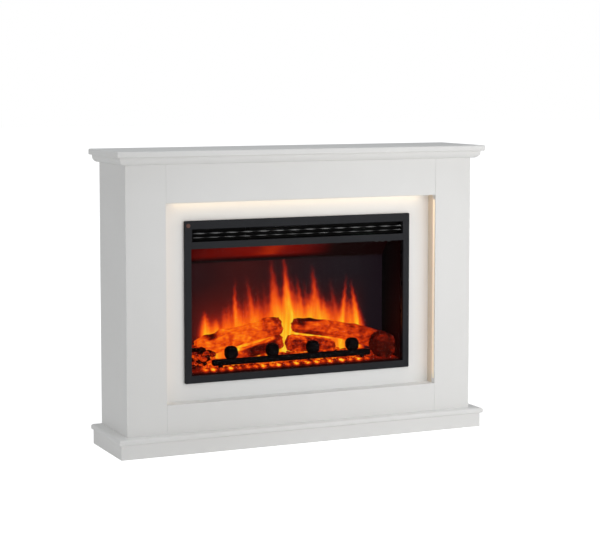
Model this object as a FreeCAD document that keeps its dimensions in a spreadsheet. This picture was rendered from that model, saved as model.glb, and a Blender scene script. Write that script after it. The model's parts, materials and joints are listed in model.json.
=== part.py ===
"""Electric fireplace: a white board surround with a lit recess, holding an inset electric fire.

Frame: X runs left to right along the front, Y from the front to the wall, Z up.
The origin is on the floor, under the middle of the whole object. Lengths are millimetres.
"""

import FreeCAD
import Part
import Sketcher
import math
import os
import re

Vector = FreeCAD.Vector
Rotation = FreeCAD.Rotation

SIZES = {
    # the whole object
    "total_width": 1148,
    "total_height": 848,
    "total_depth": 258,
    "overhang": 32,
    # mantel shelf, cornice, hearth base
    "shelf_thick": 17,
    "shelf_round": 4,
    "cornice_high": 21,
    "cornice_out": 22,
    "cornice_round": 17,
    "base_high": 57,
    "hearth_thick": 16,
    "nose_round": 6,
    "plinth_setback": 7,
    # boards and the recess
    "board": 18,
    "arris": 1.2,
    "recess_width": 848,
    "recess_bottom": 138,
    "recess_top": 702,
    "recess_depth": 44,
    "reveal_thick": 12,
    "panel_thick": 12,
    "rail_high": 80,
    "block": 30,
    # recess lighting
    "led_groove_wide": 10,
    "led_groove_deep": 8,
    "led_cover_thick": 1.5,
    "led_board_wide": 8,
    "led_board_thick": 1.2,
    "led_pitch": 25,
    "led_chip": 3.5,
    "led_chip_high": 1,
    "led_end_gap": 30,
    "led_top_from_panel": 8,
    "led_side_from_face": 4,
    "driver_wide": 30,
    "driver_deep": 50,
    "driver_high": 170,
    "driver_bottom": 90,
    # wall brackets
    "bracket_high": 60,
    "bracket_leg": 40,
    "bracket_thick": 2,
    "bracket_middle": 670,
    "bracket_hole": 2.5,
    "wall_hole_from_side": 22,
    # bezel of the fire
    "bezel_width": 712,
    "bezel_bottom": 187,
    "bezel_top": 648,
    "bezel_proud": 8,
    "bezel_side": 20,
    "bezel_foot": 21,
    "bezel_head": 24,
    "bezel_sheet": 2,
    "bezel_corner": 3,
    "bezel_arris": 0.9,
    "outlet_high": 36,
    "lintel_high": 20,
    "outlet_inset": 22,
    # air outlet slats
    "slat_thick": 3.6,
    "slat_deep": 15,
    "slat_pitch": 12,
    "slat_bracket": 4,
    # case of the fire
    "case_width": 676,
    "case_bottom": 206,
    "case_top": 629,
    "case_back": 121,
    "case_sheet": 1.5,
    "cutout_gap": 3,
    "glass_front": -47,
    "glass_thick": 4,
    "heater_floor": 575,
    "screen_front": 73,
    "screen_thick": 3,
    "screen_top": 517,
    "baffle_front": 22,
    "baffle_lip": 5,
    "baffle_thick": 2,
    "liner_thick": 2,
    "vent_long": 60,
    "vent_wide": 4,
    "vent_pitch": 12,
    "vent_count": 10,
    "flange": 14,
    "inlet_wide": 28,
    "inlet_high": 20,
    "inlet_wall": 3,
    "inlet_from_side": 60,
    "inlet_rise": 110,
    "fixing_leg": 30,
    "fixing_high": 40,
    "fixing_low": 290,
    "fixing_upper": 545,
    # flame spindle
    "spindle_y": 98,
    "spindle_z": 250,
    "spindle_rod": 3,
    "spindle_half": 284,
    "flag_reach": 15,
    "flag_long": 22,
    "flag_thick": 0.8,
    "flag_pitch": 50,
    "motor_radius": 19,
    "motor_long": 20,
    "bush_clearance": 0.08,
    # fuel bed
    "ember_front": -40,
    "ember_low": 214,
    "ember_step": 2,
    "ember_high": 226,
    "ember_wall": 4,
    "ember_side_gap": 2,
    "grate_y": -21,
    "grate_shift": -7,
    "grate_half": 252,
    "grate_low": 226,
    "grate_bar": 14,
    "grate_high": 18,
    "grate_foot": 12,
    "knob_radius": 20,
    "knob_pitch": 129,
    "knob_middle": 261,
    # blower and heater
    "fan_y": 62,
    "fan_z": 602,
    "fan_radius": 20,
    "fan_half": 140,
    "fan_disc": 1.5,
    "fan_blades": 18,
    "blade_thick": 0.9,
    "blade_deep": 7,
    "shaft_radius": 3,
    "duct_sheet": 1,
    "heater_deep": 16,
    "heater_y": 4,
    "heater_rim": 5,
    "wire_radius": 1.3,
    # controls
    "button_wide": 9,
    "button_deep": 6,
    "button_drop": 2.6,
    "button_rim": 1.5,
    "button_lift": 0.3,
    "button_pitch": 20,
    "button_first": 250,
    "button_y": -54,
    "button_gap": 0.3,
    "switch_board_thick": 1.4,
    "switch_board_low": 573.4,
    # the heater's circuit board
    "board_x": 210,
    "board_y": 20,
    "board_long": 110,
    "board_wide": 80,
    "board_lift": 3,
    "board_thick": 1.6,
    "post_inset": 5,
    "post_radius": 2.5,
    # the lead to the recess lights
    "lead_radius": 2.2,
    "lead_x": -518,
    "lead_y": 25,
    "lead_top": 770,
    "lead_end_x": -400,
    "lead_end_y": -66,
    "clip_wide": 9,
    "lens_radius": 6.2,
    "lens_side": 345,
    "lens_height": 634.5,
    # screws
    "screw_head": 4,
    "screw_head_high": 2,
    "screw_shank": 1.9,
    "screw_long": 9,
}

# Each log is a tapered round from one end to the other.
LOGS = {
    "log_back_left": dict(x0=-266, y0=44, z0=264, x1=-24, y1=44, z1=322, ra=27, rb=23),
    "log_front_left": dict(x0=-166, y0=22, z0=247, x1=-28, y1=23, z1=274, ra=17, rb=20),
    "log_back_right": dict(x0=48, y0=44, z0=322, x1=266, y1=44, z1=263, ra=22, rb=27),
    "log_front_right": dict(x0=12, y0=23, z0=266, x1=142, y1=22, z1=246, ra=19, rb=18),
    "log_stump_right": dict(x0=289, y0=-40, z0=250, x1=289, y1=-7, z1=250, ra=34, rb=35),
}
for log, ends in LOGS.items():
    SIZES.update({f"{log}_{key}": number for key, number in ends.items()})

BUTTONS = ("button_power", "button_flame", "button_heat")

# What stands on the circuit board: place along and across it, then length, width and height.
BOARD_PIECES = {
    "relay": (15, 20, 25, 15, 16),
    "transformer": (55, 40, 35, 30, 26),
    "chip": (55, 12, 20, 10, 3),
}

# Places worked out from the sizes, as expressions.
BODY_X = "(total_width / 2 - overhang)"
FRONT = "(-total_depth / 2)"
FACE = "(overhang - total_depth / 2)"
REAR = "(total_depth / 2)"
BOARD_BACK = f"({FACE} + board)"
PANEL = f"({FACE} + recess_depth)"
SHELF_Z = "(total_height - shelf_thick)"
CORNICE_Z = f"({SHELF_Z} - cornice_high)"
HEARTH_Z = "(base_high - hearth_thick)"
RECESS_X = "(recess_width / 2)"
REVEAL_X = f"({RECESS_X} + reveal_thick)"
PLINTH_X = "(total_width / 2 - plinth_setback)"
PLINTH_Y = f"({FRONT} + plinth_setback)"
SIDE_IN_X = f"({BODY_X} - board)"
BEZEL_X = "(bezel_width / 2)"
BEZEL_Y = f"({PANEL} - bezel_proud)"
VIEW_X = f"({BEZEL_X} - bezel_side)"
VIEW_LOW = "(bezel_bottom + bezel_foot)"
OUTLET_X = f"({BEZEL_X} - outlet_inset)"
OUTLET_TOP = "(bezel_top - bezel_head)"
OUTLET_LOW = f"({OUTLET_TOP} - outlet_high)"
VIEW_TOP = f"({OUTLET_LOW} - lintel_high)"
CASE_X = "(case_width / 2)"
CASE_IN_X = f"({CASE_X} - case_sheet)"
CASE_FLOOR = "(case_bottom + case_sheet)"
CASE_IN_BACK = "(case_back - case_sheet)"
GLASS_BACK = "(glass_front + glass_thick)"
HEATER_TOP = "(heater_floor + case_sheet)"

doc = FreeCAD.newDocument("electric_fireplace")
sheet = doc.addObject("Spreadsheet::Sheet", "Sizes")
for row, (alias, number) in enumerate(SIZES.items(), 1):
    sheet.set(f"A{row}", alias)
    sheet.set(f"B{row}", str(number))
    sheet.setAlias(f"B{row}", alias)
doc.recompute()

PARTS = []


# ---------------------------------------------------------------- tools

def bind(text):
    """The expression with each size's name pointed at the spreadsheet."""
    return re.sub(r"[a-z_][a-z_0-9]*", lambda m: f"Sizes.{m[0]}" if m[0] in SIZES else m[0], text)


def value(text):
    """What an expression works out to now."""
    return float(sheet.evalExpression(bind(text)))


def node(item, label=None):
    """Marks an object as one physical piece of the fireplace."""
    item.Label = label or item.Name
    PARTS.append(item)
    return item


def box(name, x, y, z):
    """A block between pairs of expressions for its x, y and z."""
    item = doc.addObject("Part::Box", name)
    for size, axis, (low, high) in (("Length", "x", x), ("Width", "y", y), ("Height", "z", z)):
        item.setExpression(size, bind(f"({high}) - ({low})"))
        item.setExpression(f"Placement.Base.{axis}", bind(low))
    return item


def rod(name, axis, radius, centre, span):
    """A round bar along x, y or z; centre gives the other two coordinates, span its ends."""
    item = doc.addObject("Part::Cylinder", name)
    turns = {"x": Rotation(Vector(0, 1, 0), 90), "y": Rotation(Vector(1, 0, 0), -90), "z": Rotation()}
    item.Placement = FreeCAD.Placement(Vector(), turns[axis])
    item.setExpression("Radius", bind(radius))
    item.setExpression("Height", bind(f"({span[1]}) - ({span[0]})"))
    places = dict(zip([a for a in "xyz" if a != axis], centre))
    places[axis] = span[0]
    for key, place in places.items():
        item.setExpression(f"Placement.Base.{key}", bind(place))
    return item


def fuse(name, *items):
    item = doc.addObject("Part::MultiFuse", name)
    item.Shapes = list(items)
    return item


def cut(name, base, *tools):
    """base with every tool cut away. It must lose volume, and stay whole."""
    item = doc.addObject("Part::Cut", name)
    item.Base = base
    item.Tool = tools[0] if len(tools) == 1 else fuse(f"{name}_tools", *tools)
    doc.recompute()
    if item.Shape.Volume >= base.Shape.Volume:
        raise ValueError(f"{name}: the tools cut nothing")
    return item


def group(name, items):
    """Identical pieces that share one node, as separate solids."""
    item = doc.addObject("Part::Compound", name)
    item.Links = list(items)
    return node(item)


def mirror(item, name):
    """The same piece on the other side of the middle plane."""
    other = doc.addObject("Part::Mirroring", name)
    other.Source = item
    other.Normal = Vector(1, 0, 0)
    return other


PLANES = {"XY": ("XY_Plane", 1), "XZ": ("XZ_Plane", -1), "YZ": ("YZ_Plane", 1)}


def sketch(body, name, plane, level):
    """A sketch on a plane of the body's own origin, moved along that plane's axis to level."""
    role, sign = PLANES[plane]
    item = body.newObject("Sketcher::SketchObject", name)
    support = [f for f in body.Origin.OriginFeatures if f.Role == role]
    item.AttachmentSupport = [(support[0], "")]
    item.MapMode = "FlatFace"
    item.setExpression("AttachmentOffset.Base.z", bind(f"{sign} * ({level})"))
    return item


def outline(item, points):
    """Adds a closed outline to a sketch, each corner tied to its pair of expressions."""
    first = item.GeometryCount
    count = len(points)
    at = [Vector(value(u), value(v), 0) for u, v in points]
    for i in range(count):
        item.addGeometry(Part.LineSegment(at[i], at[(i + 1) % count]), False)
    for i, (u, v) in enumerate(points):
        item.addConstraint(Sketcher.Constraint("Coincident", first + i, 2, first + (i + 1) % count, 1))
        for kind, number, text in (("DistanceX", at[i].x, u), ("DistanceY", at[i].y, v)):
            place = item.addConstraint(Sketcher.Constraint(kind, -1, 1, first + i, 1, number))
            item.setExpression(f"Constraints[{place}]", bind(text))


def corners(u, v):
    """The four corners of a rectangle from two pairs of expressions."""
    return [(u[0], v[0]), (u[1], v[0]), (u[1], v[1]), (u[0], v[1])]


def hole(item, u, v, radius):
    """Adds a circle to a sketch."""
    circle = Part.Circle(Vector(value(u), value(v), 0), Vector(0, 0, 1), value(radius))
    first = item.addGeometry(circle, False)
    for kind, text in (("DistanceX", u), ("DistanceY", v)):
        place = item.addConstraint(Sketcher.Constraint(kind, -1, 1, first, 3, value(text)))
        item.setExpression(f"Constraints[{place}]", bind(text))
    place = item.addConstraint(Sketcher.Constraint("Radius", first, value(radius)))
    item.setExpression(f"Constraints[{place}]", bind(radius))


def pad(body, name, plane, level, outlines, circles=()):
    """Material between the two levels of the plane's axis, inside the outlines."""
    item = sketch(body, f"{name}_sketch", plane, level[1] if plane == "XZ" else level[0])
    for points in outlines:
        outline(item, points)
    for circle in circles:
        hole(item, *circle)
    feature = body.newObject("PartDesign::Pad", name)
    feature.Profile = item
    feature.setExpression("Length", bind(f"({level[1]}) - ({level[0]})"))
    doc.recompute()
    return feature


def pocket(body, name, plane, level, outlines, circles=()):
    """Cuts the outlines away between the two levels of the plane's axis."""
    before = body.Shape.Volume
    item = sketch(body, f"{name}_sketch", plane, level[0] if plane == "XZ" else level[1])
    for points in outlines:
        outline(item, points)
    for circle in circles:
        hole(item, *circle)
    feature = body.newObject("PartDesign::Pocket", name)
    feature.Profile = item
    feature.setExpression("Length", bind(f"({level[1]}) - ({level[0]})"))
    doc.recompute()
    if body.Shape.Volume >= before:
        raise ValueError(f"{name}: the pocket cut nothing")
    return feature


def fillet(body, name, radius, chosen):
    """Rounds the edges of the body whose boxes pass the test."""
    base = body.Tip
    found = [f"Edge{i}" for i, e in enumerate(base.Shape.Edges, 1) if chosen(e.BoundBox)]
    if not found:
        raise ValueError(f"{name}: no edge was found")
    feature = body.newObject("PartDesign::Fillet", name)
    feature.Base = (base, found)
    feature.setExpression("Radius", bind(radius))
    doc.recompute()
    return feature


def row_of(body, name, feature, count, length, axis="H_Axis"):
    """Repeats a feature along one of its sketch's axes."""
    item = body.newObject("PartDesign::LinearPattern", name)
    item.Originals = [feature]
    item.Direction = (feature.Profile[0], [axis])
    item.Occurrences = count
    item.setExpression("Length", bind(length))
    body.Tip = item
    doc.recompute()
    return item


def ring_of(body, name, feature, y, z, count):
    """Repeats a feature right round an axis along X through y and z."""
    axle = sketch(body, f"{name}_axle", "YZ", "0")
    axle.addGeometry(Part.LineSegment(Vector(0, 0, 0), Vector(1, 0, 0)), True)
    axle.setExpression("AttachmentOffset.Base.x", bind(y))
    axle.setExpression("AttachmentOffset.Base.y", bind(z))
    item = body.newObject("PartDesign::PolarPattern", name)
    item.Originals = [feature]
    item.Axis = (axle, ["N_Axis"])
    item.Angle = 360
    item.Occurrences = count
    body.Tip = item
    doc.recompute()
    return item


def screw(name, axis, at, seat, out):
    """A pan-head screw along an axis; its head stands on the level seat, towards out (+ or -)."""
    back = "-" if out == "+" else "+"
    head = sorted_span(seat, f"{seat} {out} screw_head_high")
    shank = sorted_span(f"{seat} {back} screw_long", f"{seat} {out} screw_head_high / 2")
    top = rod(f"{name}_head", axis, "screw_head", at, head)
    return fuse(name, top, rod(f"{name}_shank", axis, "screw_shank", at, shank))


def sorted_span(a, b):
    return (a, b) if value(a) < value(b) else (b, a)


def new_body(name):
    return doc.addObject("PartDesign::Body", name)


def near(a, b):
    return abs(a - b) < 0.01


# ---------------------------------------------------------------- surround

def rounded_board(name, z, radius):
    """A full-size board whose front and side edges are rounded above and below."""
    body = new_body(name)
    half, front, rear = "(total_width / 2)", FRONT, REAR
    pad(body, f"{name}_pad", "XY", z, [corners((f"-{half}", half), (front, rear))])
    x, y = value(half), value(front)
    levels = [value(z[0]), value(z[1])]

    def outer(b):
        level = near(b.ZMin, b.ZMax) and any(near(b.ZMin, z0) for z0 in levels)
        return level and (near(b.YMax, y) or near(b.XMin, x) or near(b.XMax, -x))

    fillet(body, f"{name}_round", radius, outer)
    return node(body)


def cornice():
    """The quarter-round moulding under the shelf: a front length and two mitred returns."""
    z = (CORNICE_Z, SHELF_Z)
    far_x, far_y = f"({BODY_X} + cornice_out)", f"({FACE} - cornice_out)"
    low = value(CORNICE_Z)
    front = new_body("cornice_front")
    plan = [(f"-{far_x}", far_y), (far_x, far_y), (BODY_X, FACE), (f"-{BODY_X}", FACE)]
    pad(front, "cornice_front_pad", "XY", z, [plan])
    fillet(front, "cornice_front_round", "cornice_round",
           lambda b: near(b.ZMax, low) and near(b.YMax, value(far_y)))
    node(front)
    returns = []
    for side, sign in (("left", "-"), ("right", "")):
        body = new_body(f"cornice_{side}")
        out, inner = f"{sign}{far_x}", f"{sign}{BODY_X}"
        plan = [(out, far_y), (out, REAR), (inner, REAR), (inner, FACE)]
        pad(body, f"cornice_{side}_pad", "XY", z, [plan])
        fillet(body, f"cornice_{side}_round", "cornice_round",
               lambda b, x=value(out): near(b.ZMax, low) and near(b.XMin, x) and near(b.XMax, x))
        returns.append(body)
    group("cornice_returns", returns)


def front_board(name, x, z, sides):
    """A board of the front, its front edges on the named sides eased: left, right, low or high."""
    body = new_body(name)
    pad(body, f"{name}_pad", "XY", z, [corners(x, (FACE, BOARD_BACK))])
    front = value(FACE)
    levels = {"left": value(x[0]), "right": value(x[1]), "low": value(z[0]), "high": value(z[1])}

    def eased(b):
        if not near(b.YMax, front):
            return False
        upright = near(b.XMin, b.XMax)
        names = ("left", "right") if upright else ("low", "high")
        place = b.XMin if upright else b.ZMin
        return any(side in sides and near(place, levels[side]) for side in names)

    fillet(body, f"{name}_arris", "arris", eased)
    return body


def surround_boards():
    """The boards of the surround's front and sides."""
    across = (f"-{RECESS_X}", RECESS_X)
    node(front_board("header_board", across, ("recess_top", SHELF_Z), ("left", "right", "low")))
    node(front_board("bottom_rail", across, ("base_high", "recess_bottom"), ("left", "right", "high")))
    high = ("base_high", SHELF_Z)
    groove_y = (f"{FACE} + led_side_from_face", f"{FACE} + led_side_from_face + led_groove_wide")
    groove_z = ("recess_bottom + led_end_gap / 2", "recess_top - led_end_gap / 2")
    groove_bed = f"{RECESS_X} + led_groove_deep"
    pilasters = {
        "left": ((f"-{BODY_X}", f"-{RECESS_X}"), (f"-({groove_bed})", f"-{RECESS_X}")),
        "right": ((RECESS_X, BODY_X), (RECESS_X, groove_bed)),
    }
    for side, (board_x, groove_x) in pilasters.items():
        body = front_board(f"{side}_pilaster", board_x, high, ("left", "right"))
        pocket(body, f"{side}_pilaster_groove", "XY", groove_z, [corners(groove_x, groove_y)])
        node(body)
    node(box("left_side_panel", (f"-{BODY_X}", f"-{SIDE_IN_X}"), (BOARD_BACK, REAR), high))
    node(box("right_side_panel", (SIDE_IN_X, BODY_X), (BOARD_BACK, REAR), high))


def recess_boards():
    """The returns of the recess and the panel that the fire fits through."""
    deep = (BOARD_BACK, PANEL)
    wide = (f"-{REVEAL_X}", REVEAL_X)
    top = box("reveal_top_blank", wide, deep, ("recess_top", "recess_top + reveal_thick"))
    groove = box(
        "reveal_top_groove",
        (f"-{RECESS_X} + led_end_gap", f"{RECESS_X} - led_end_gap"),
        (f"{PANEL} - led_top_from_panel - led_groove_wide", f"{PANEL} - led_top_from_panel"),
        ("recess_top", "recess_top + led_groove_deep"),
    )
    node(cut("reveal_top", top, groove))
    node(box("reveal_bottom", wide, deep, ("recess_bottom - reveal_thick", "recess_bottom")))
    right = box("reveal_right", (RECESS_X, REVEAL_X), deep, ("recess_bottom", "recess_top"))
    group("reveal_sides", [right, mirror(right, "reveal_left")])
    panel = new_body("fire_back_panel")
    board = corners(wide, ("recess_bottom - reveal_thick", "recess_top + reveal_thick"))
    cut_x = f"({CASE_X} + cutout_gap)"
    cutout = corners((f"-{cut_x}", cut_x), ("case_bottom - cutout_gap", "case_top + cutout_gap"))
    pad(panel, "fire_back_panel_pad", "XZ", (PANEL, f"{PANEL} + panel_thick"), [board, cutout])
    node(panel)


def plinth():
    """The mitred plinth under the hearth board, closed at the back."""
    z = ("0", HEARTH_Z)
    in_x, in_y = f"({PLINTH_X} - board)", f"({PLINTH_Y} + board)"
    front = new_body("plinth_front")
    plan = [(f"-{PLINTH_X}", PLINTH_Y), (PLINTH_X, PLINTH_Y), (in_x, in_y), (f"-{in_x}", in_y)]
    pad(front, "plinth_front_pad", "XY", z, [plan])
    node(front)
    returns = []
    for side, sign in (("left", "-"), ("right", "")):
        body = new_body(f"plinth_return_{side}")
        out, inner = f"{sign}{PLINTH_X}", f"{sign}{in_x}"
        plan = [(out, PLINTH_Y), (out, REAR), (inner, REAR), (inner, in_y)]
        pad(body, f"plinth_{side}_pad", "XY", z, [plan])
        returns.append(body)
    group("plinth_returns", returns)
    node(box("plinth_rear", (f"-{in_x}", in_x), (f"{REAR} - board", REAR), z))


def carcass_fittings():
    """The rear rail, glued corner blocks and wall brackets inside the surround."""
    behind = (f"{REAR} - board", REAR)
    node(box("rear_top_rail", (f"-{SIDE_IN_X}", SIDE_IN_X), behind, (f"{SHELF_Z} - rail_high", SHELF_Z)))
    blocks = []
    for end, z in (("low", ("base_high", "base_high + block")), ("high", (f"{SHELF_Z} - block", SHELF_Z))):
        place = ((f"{SIDE_IN_X} - block", SIDE_IN_X), (BOARD_BACK, f"{BOARD_BACK} + block"), z)
        right = box(f"block_right_{end}", *place)
        blocks += [right, mirror(right, f"block_left_{end}")]
    group("corner_blocks", blocks)
    z = ("bracket_middle - bracket_high / 2", "bracket_middle + bracket_high / 2")
    leg_x, leg_y = (f"{SIDE_IN_X} - bracket_leg", SIDE_IN_X), (f"{REAR} - bracket_leg", REAR)
    wall = box("bracket_wall_leg", leg_x, (f"{REAR} - bracket_thick", REAR), z)
    side = box("bracket_side_leg", (f"{SIDE_IN_X} - bracket_thick", SIDE_IN_X), leg_y, z)
    through = (f"{REAR} - 2 * bracket_thick", f"{REAR} + bracket_thick")
    at = (f"{SIDE_IN_X} - wall_hole_from_side", "bracket_middle")
    drill = rod("bracket_drill", "y", "bracket_hole", at, through)
    right = cut("bracket_right", fuse("bracket_legs", wall, side), drill)
    group("wall_brackets", [right, mirror(right, "bracket_left")])


def light_strip(name, plane, back, run, across, axis):
    """A strip board on the level back, with chips that face down the plane's axis."""
    body = new_body(name)
    middle = f"(({across[0]} + {across[1]}) / 2)"
    face = f"({back} - led_board_thick)"

    def laid(length, width):
        return corners(length, width) if axis == "H_Axis" else corners(width, length)

    board = (f"{middle} - led_board_wide / 2", f"{middle} + led_board_wide / 2")
    pad(body, f"{name}_board", plane, (face, back), [laid(run, board)])
    first = (f"{run[0]} + led_chip", f"{run[0]} + 2 * led_chip")
    chip_width = (f"{middle} - led_chip / 2", f"{middle} + led_chip / 2")
    chip = pad(body, f"{name}_chip", plane, (f"{face} - led_chip_high", face), [laid(first, chip_width)])
    room = value(run[1]) - value(run[0]) - 3 * value("led_chip")
    steps = int(room / value("led_pitch"))
    row_of(body, f"{name}_chips", chip, steps + 1, f"led_pitch * {steps}", axis)
    return body


def lighting():
    """Strip lights let into the recess, their frosted covers, and the driver that feeds them."""
    half = f"({RECESS_X} - led_end_gap)"
    top_run = (f"-{half}", half)
    top_y = (f"{PANEL} - led_top_from_panel - led_groove_wide", f"{PANEL} - led_top_from_panel")
    side_run = ("recess_bottom + led_end_gap / 2", "recess_top - led_end_gap / 2")
    side_y = (f"{FACE} + led_side_from_face", f"{FACE} + led_side_from_face + led_groove_wide")
    top = light_strip("led_strip_top", "XY", "recess_top + led_groove_deep", top_run, top_y, "H_Axis")
    side = light_strip("led_strip_right", "YZ", f"{RECESS_X} + led_groove_deep", side_run, side_y, "V_Axis")
    group("led_strips", [top, side, mirror(side, "led_strip_left")])
    top = box("led_cover_top", top_run, top_y, ("recess_top", "recess_top + led_cover_thick"))
    side = box("led_cover_right", (RECESS_X, f"{RECESS_X} + led_cover_thick"), side_y, side_run)
    group("led_covers", [top, side, mirror(side, "led_cover_left")])
    driver = new_body("led_driver")
    x = (f"-{SIDE_IN_X}", f"-{SIDE_IN_X} + driver_wide")
    z = ("driver_bottom", "driver_bottom + driver_high")
    pad(driver, "led_driver_pad", "XY", z, [corners(x, ("0", "driver_deep"))])
    inside = value(x[1])
    fillet(driver, "led_driver_round", "2", lambda b: near(b.XMin, inside) and near(b.XMax, inside))
    node(driver)


def lighting_lead():
    """The lead from the driver up the side panel and over to the lights, with its two clips."""
    ends = ["driver_bottom + driver_high", "lead_top", "lead_top", "recess_top + reveal_thick"]
    up, over = ("lead_x", "lead_y"), ("lead_end_x", "lead_end_y")
    points = [Vector(value(x), value(y), value(z)) for (x, y), z in zip((up, up, over, over), ends)]
    radius = value("lead_radius")
    edges = []
    start = points[0]
    for before, corner, after in zip(points, points[1:], points[2:]):
        to_before = (before - corner).normalize()
        to_after = (after - corner).normalize()
        half_turn = (math.pi - to_before.getAngle(to_after)) / 2
        trim = 0.45 * min((before - corner).Length, (after - corner).Length)
        bend = trim / math.tan(half_turn)
        bisector = (to_before + to_after).normalize()
        middle = corner + bisector * (bend / math.cos(half_turn) - bend)
        first, last = corner + to_before * trim, corner + to_after * trim
        edges.append(Part.LineSegment(start, first).toShape())
        edges.append(Part.Arc(first, middle, last).toShape())
        print(f"led_lead bend: {bend:.0f} mm")
        start = last
    edges.append(Part.LineSegment(start, points[-1]).toShape())
    path = Part.Wire(edges)
    ring = Part.Wire([Part.makeCircle(radius, points[0], Vector(0, 0, 1))])
    tube = path.makePipeShell([ring], True, True)
    expected = math.pi * radius ** 2 * path.Length
    if abs(tube.Volume - expected) > 0.01 * expected:
        raise ValueError("led_lead: the tube's volume is wrong")
    lead = doc.addObject("Part::Feature", "led_lead_tube")
    lead.Shape = tube
    clips = []
    for name, z in (("low", "fixing_low + 100"), ("high", "fixing_upper + 50")):
        x, y = (f"-{SIDE_IN_X}", "lead_x + lead_radius + 1.5"), ("lead_y - clip_wide", "lead_y + clip_wide")
        block = box(f"clip_{name}_block", x, y, (z, f"{z} + clip_wide"))
        through = (f"{z} - 1", f"{z} + clip_wide + 1")
        bore = rod(f"clip_{name}_bore", "z", "lead_radius", ("lead_x", "lead_y"), through)
        clips.append(cut(f"clip_{name}", block, bore))
    group("led_lead", [lead, *clips])


# ---------------------------------------------------------------- fire: front and case

def front_bezel():
    """A folded steel trim with a window for the fire and an outlet for warm air above it."""
    body = new_body("front_bezel")
    fold = "bezel_sheet"
    outer = ((f"-{BEZEL_X}", BEZEL_X), ("bezel_bottom", "bezel_top"))
    window = ((f"-{VIEW_X}", VIEW_X), (VIEW_LOW, VIEW_TOP))
    outlet = ((f"-{OUTLET_X}", OUTLET_X), (OUTLET_LOW, OUTLET_TOP))
    rings = [corners(*outer), corners(*window), corners(*outlet)]
    pad(body, "front_bezel_pad", "XZ", (BEZEL_Y, PANEL), rings)

    def grown(ring, by):
        return corners(*[(f"{low} - ({by})", f"{high} + ({by})") for low, high in ring])

    hollow = [grown(outer, f"-{fold}"), grown(window, fold), grown(outlet, fold)]
    pocket(body, "front_bezel_hollow", "XZ", (f"{BEZEL_Y} + {fold}", PANEL), hollow)
    lip_z = (VIEW_TOP, f"{VIEW_TOP} + {fold}")
    pad(body, "front_bezel_lip", "XY", lip_z, [corners(window[0], (PANEL, "glass_front - 0.5"))])
    holes = [corners(*button_plan(i, "button_gap")) for i in range(len(BUTTONS))]
    pocket(body, "front_bezel_button_holes", "XY", lip_z, holes)
    pocket(body, "front_bezel_lens_hole", "XZ", (BEZEL_Y, f"{BEZEL_Y} + {fold}"), [],
           [("-lens_side", "lens_height", "lens_radius")])
    x, low, high = value(BEZEL_X), value("bezel_bottom"), value("bezel_top")

    def outer_corner(b):
        along_y = near(b.XMin, b.XMax) and near(b.ZMin, b.ZMax)
        return along_y and near(abs(b.XMin), x) and (near(b.ZMin, low) or near(b.ZMin, high))

    fillet(body, "front_bezel_corners", "bezel_corner", outer_corner)
    front = value(BEZEL_Y)
    lens = [value("-lens_side"), value("lens_height")]

    def front_arris(b):
        hole_edge = b.Center.distanceToPoint(Vector(lens[0], front, lens[1])) < value("lens_radius")
        return near(b.YMin, front) and near(b.YMax, front) and not hole_edge

    fillet(body, "front_bezel_arris", "bezel_arris", front_arris)
    node(body)


def air_outlet():
    """Two rounded slats across the warm-air outlet, welded to a bracket at each end."""
    x = f"({OUTLET_X} - slat_bracket)"
    middle = f"({OUTLET_LOW} + outlet_high / 2)"
    y = (f"{BEZEL_Y} + 2", f"{BEZEL_Y} + 2 + slat_deep")
    body = new_body("outlet_louvre")
    ends = [(f"-{OUTLET_X}", f"-{x}"), (x, OUTLET_X)]
    for i, span in enumerate(ends):
        pad(body, f"slat_bracket_{i}", "YZ", span, [corners((f"{y[0]} + 2.5", f"{y[1]} + 3"),
                                                            (f"{OUTLET_LOW} + 1", f"{OUTLET_TOP} - 1"))])
    for name, sign in (("slat_lower", "-"), ("slat_upper", "+")):
        level = f"({middle} {sign} slat_pitch / 2)"
        z = (f"{level} - slat_thick / 2", f"{level} + slat_thick / 2")
        pad(body, name, "YZ", (f"-{x} - 1", f"{x} + 1"), [corners(y, z)])
    front, long = value(y[0]), value(x)
    fillet(body, "slat_nose", "slat_thick * 0.45", lambda b: near(b.YMax, front) and b.XMax - b.XMin > long)
    node(body)


def vented_plate(name, plane, level, u, v, slots_v):
    """A sheet with a row of vent slots."""
    body = new_body(name)
    pad(body, f"{name}_pad", plane, level, [corners(u, v)])
    start = "(-vent_pitch * (vent_count - 1) / 2)"
    slot = pocket(body, f"{name}_slot", plane, level,
                  [corners((f"{start} - vent_wide / 2", f"{start} + vent_wide / 2"), slots_v)])
    row_of(body, f"{name}_slots", slot, int(value("vent_count")), "vent_pitch * (vent_count - 1)")
    return body


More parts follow.
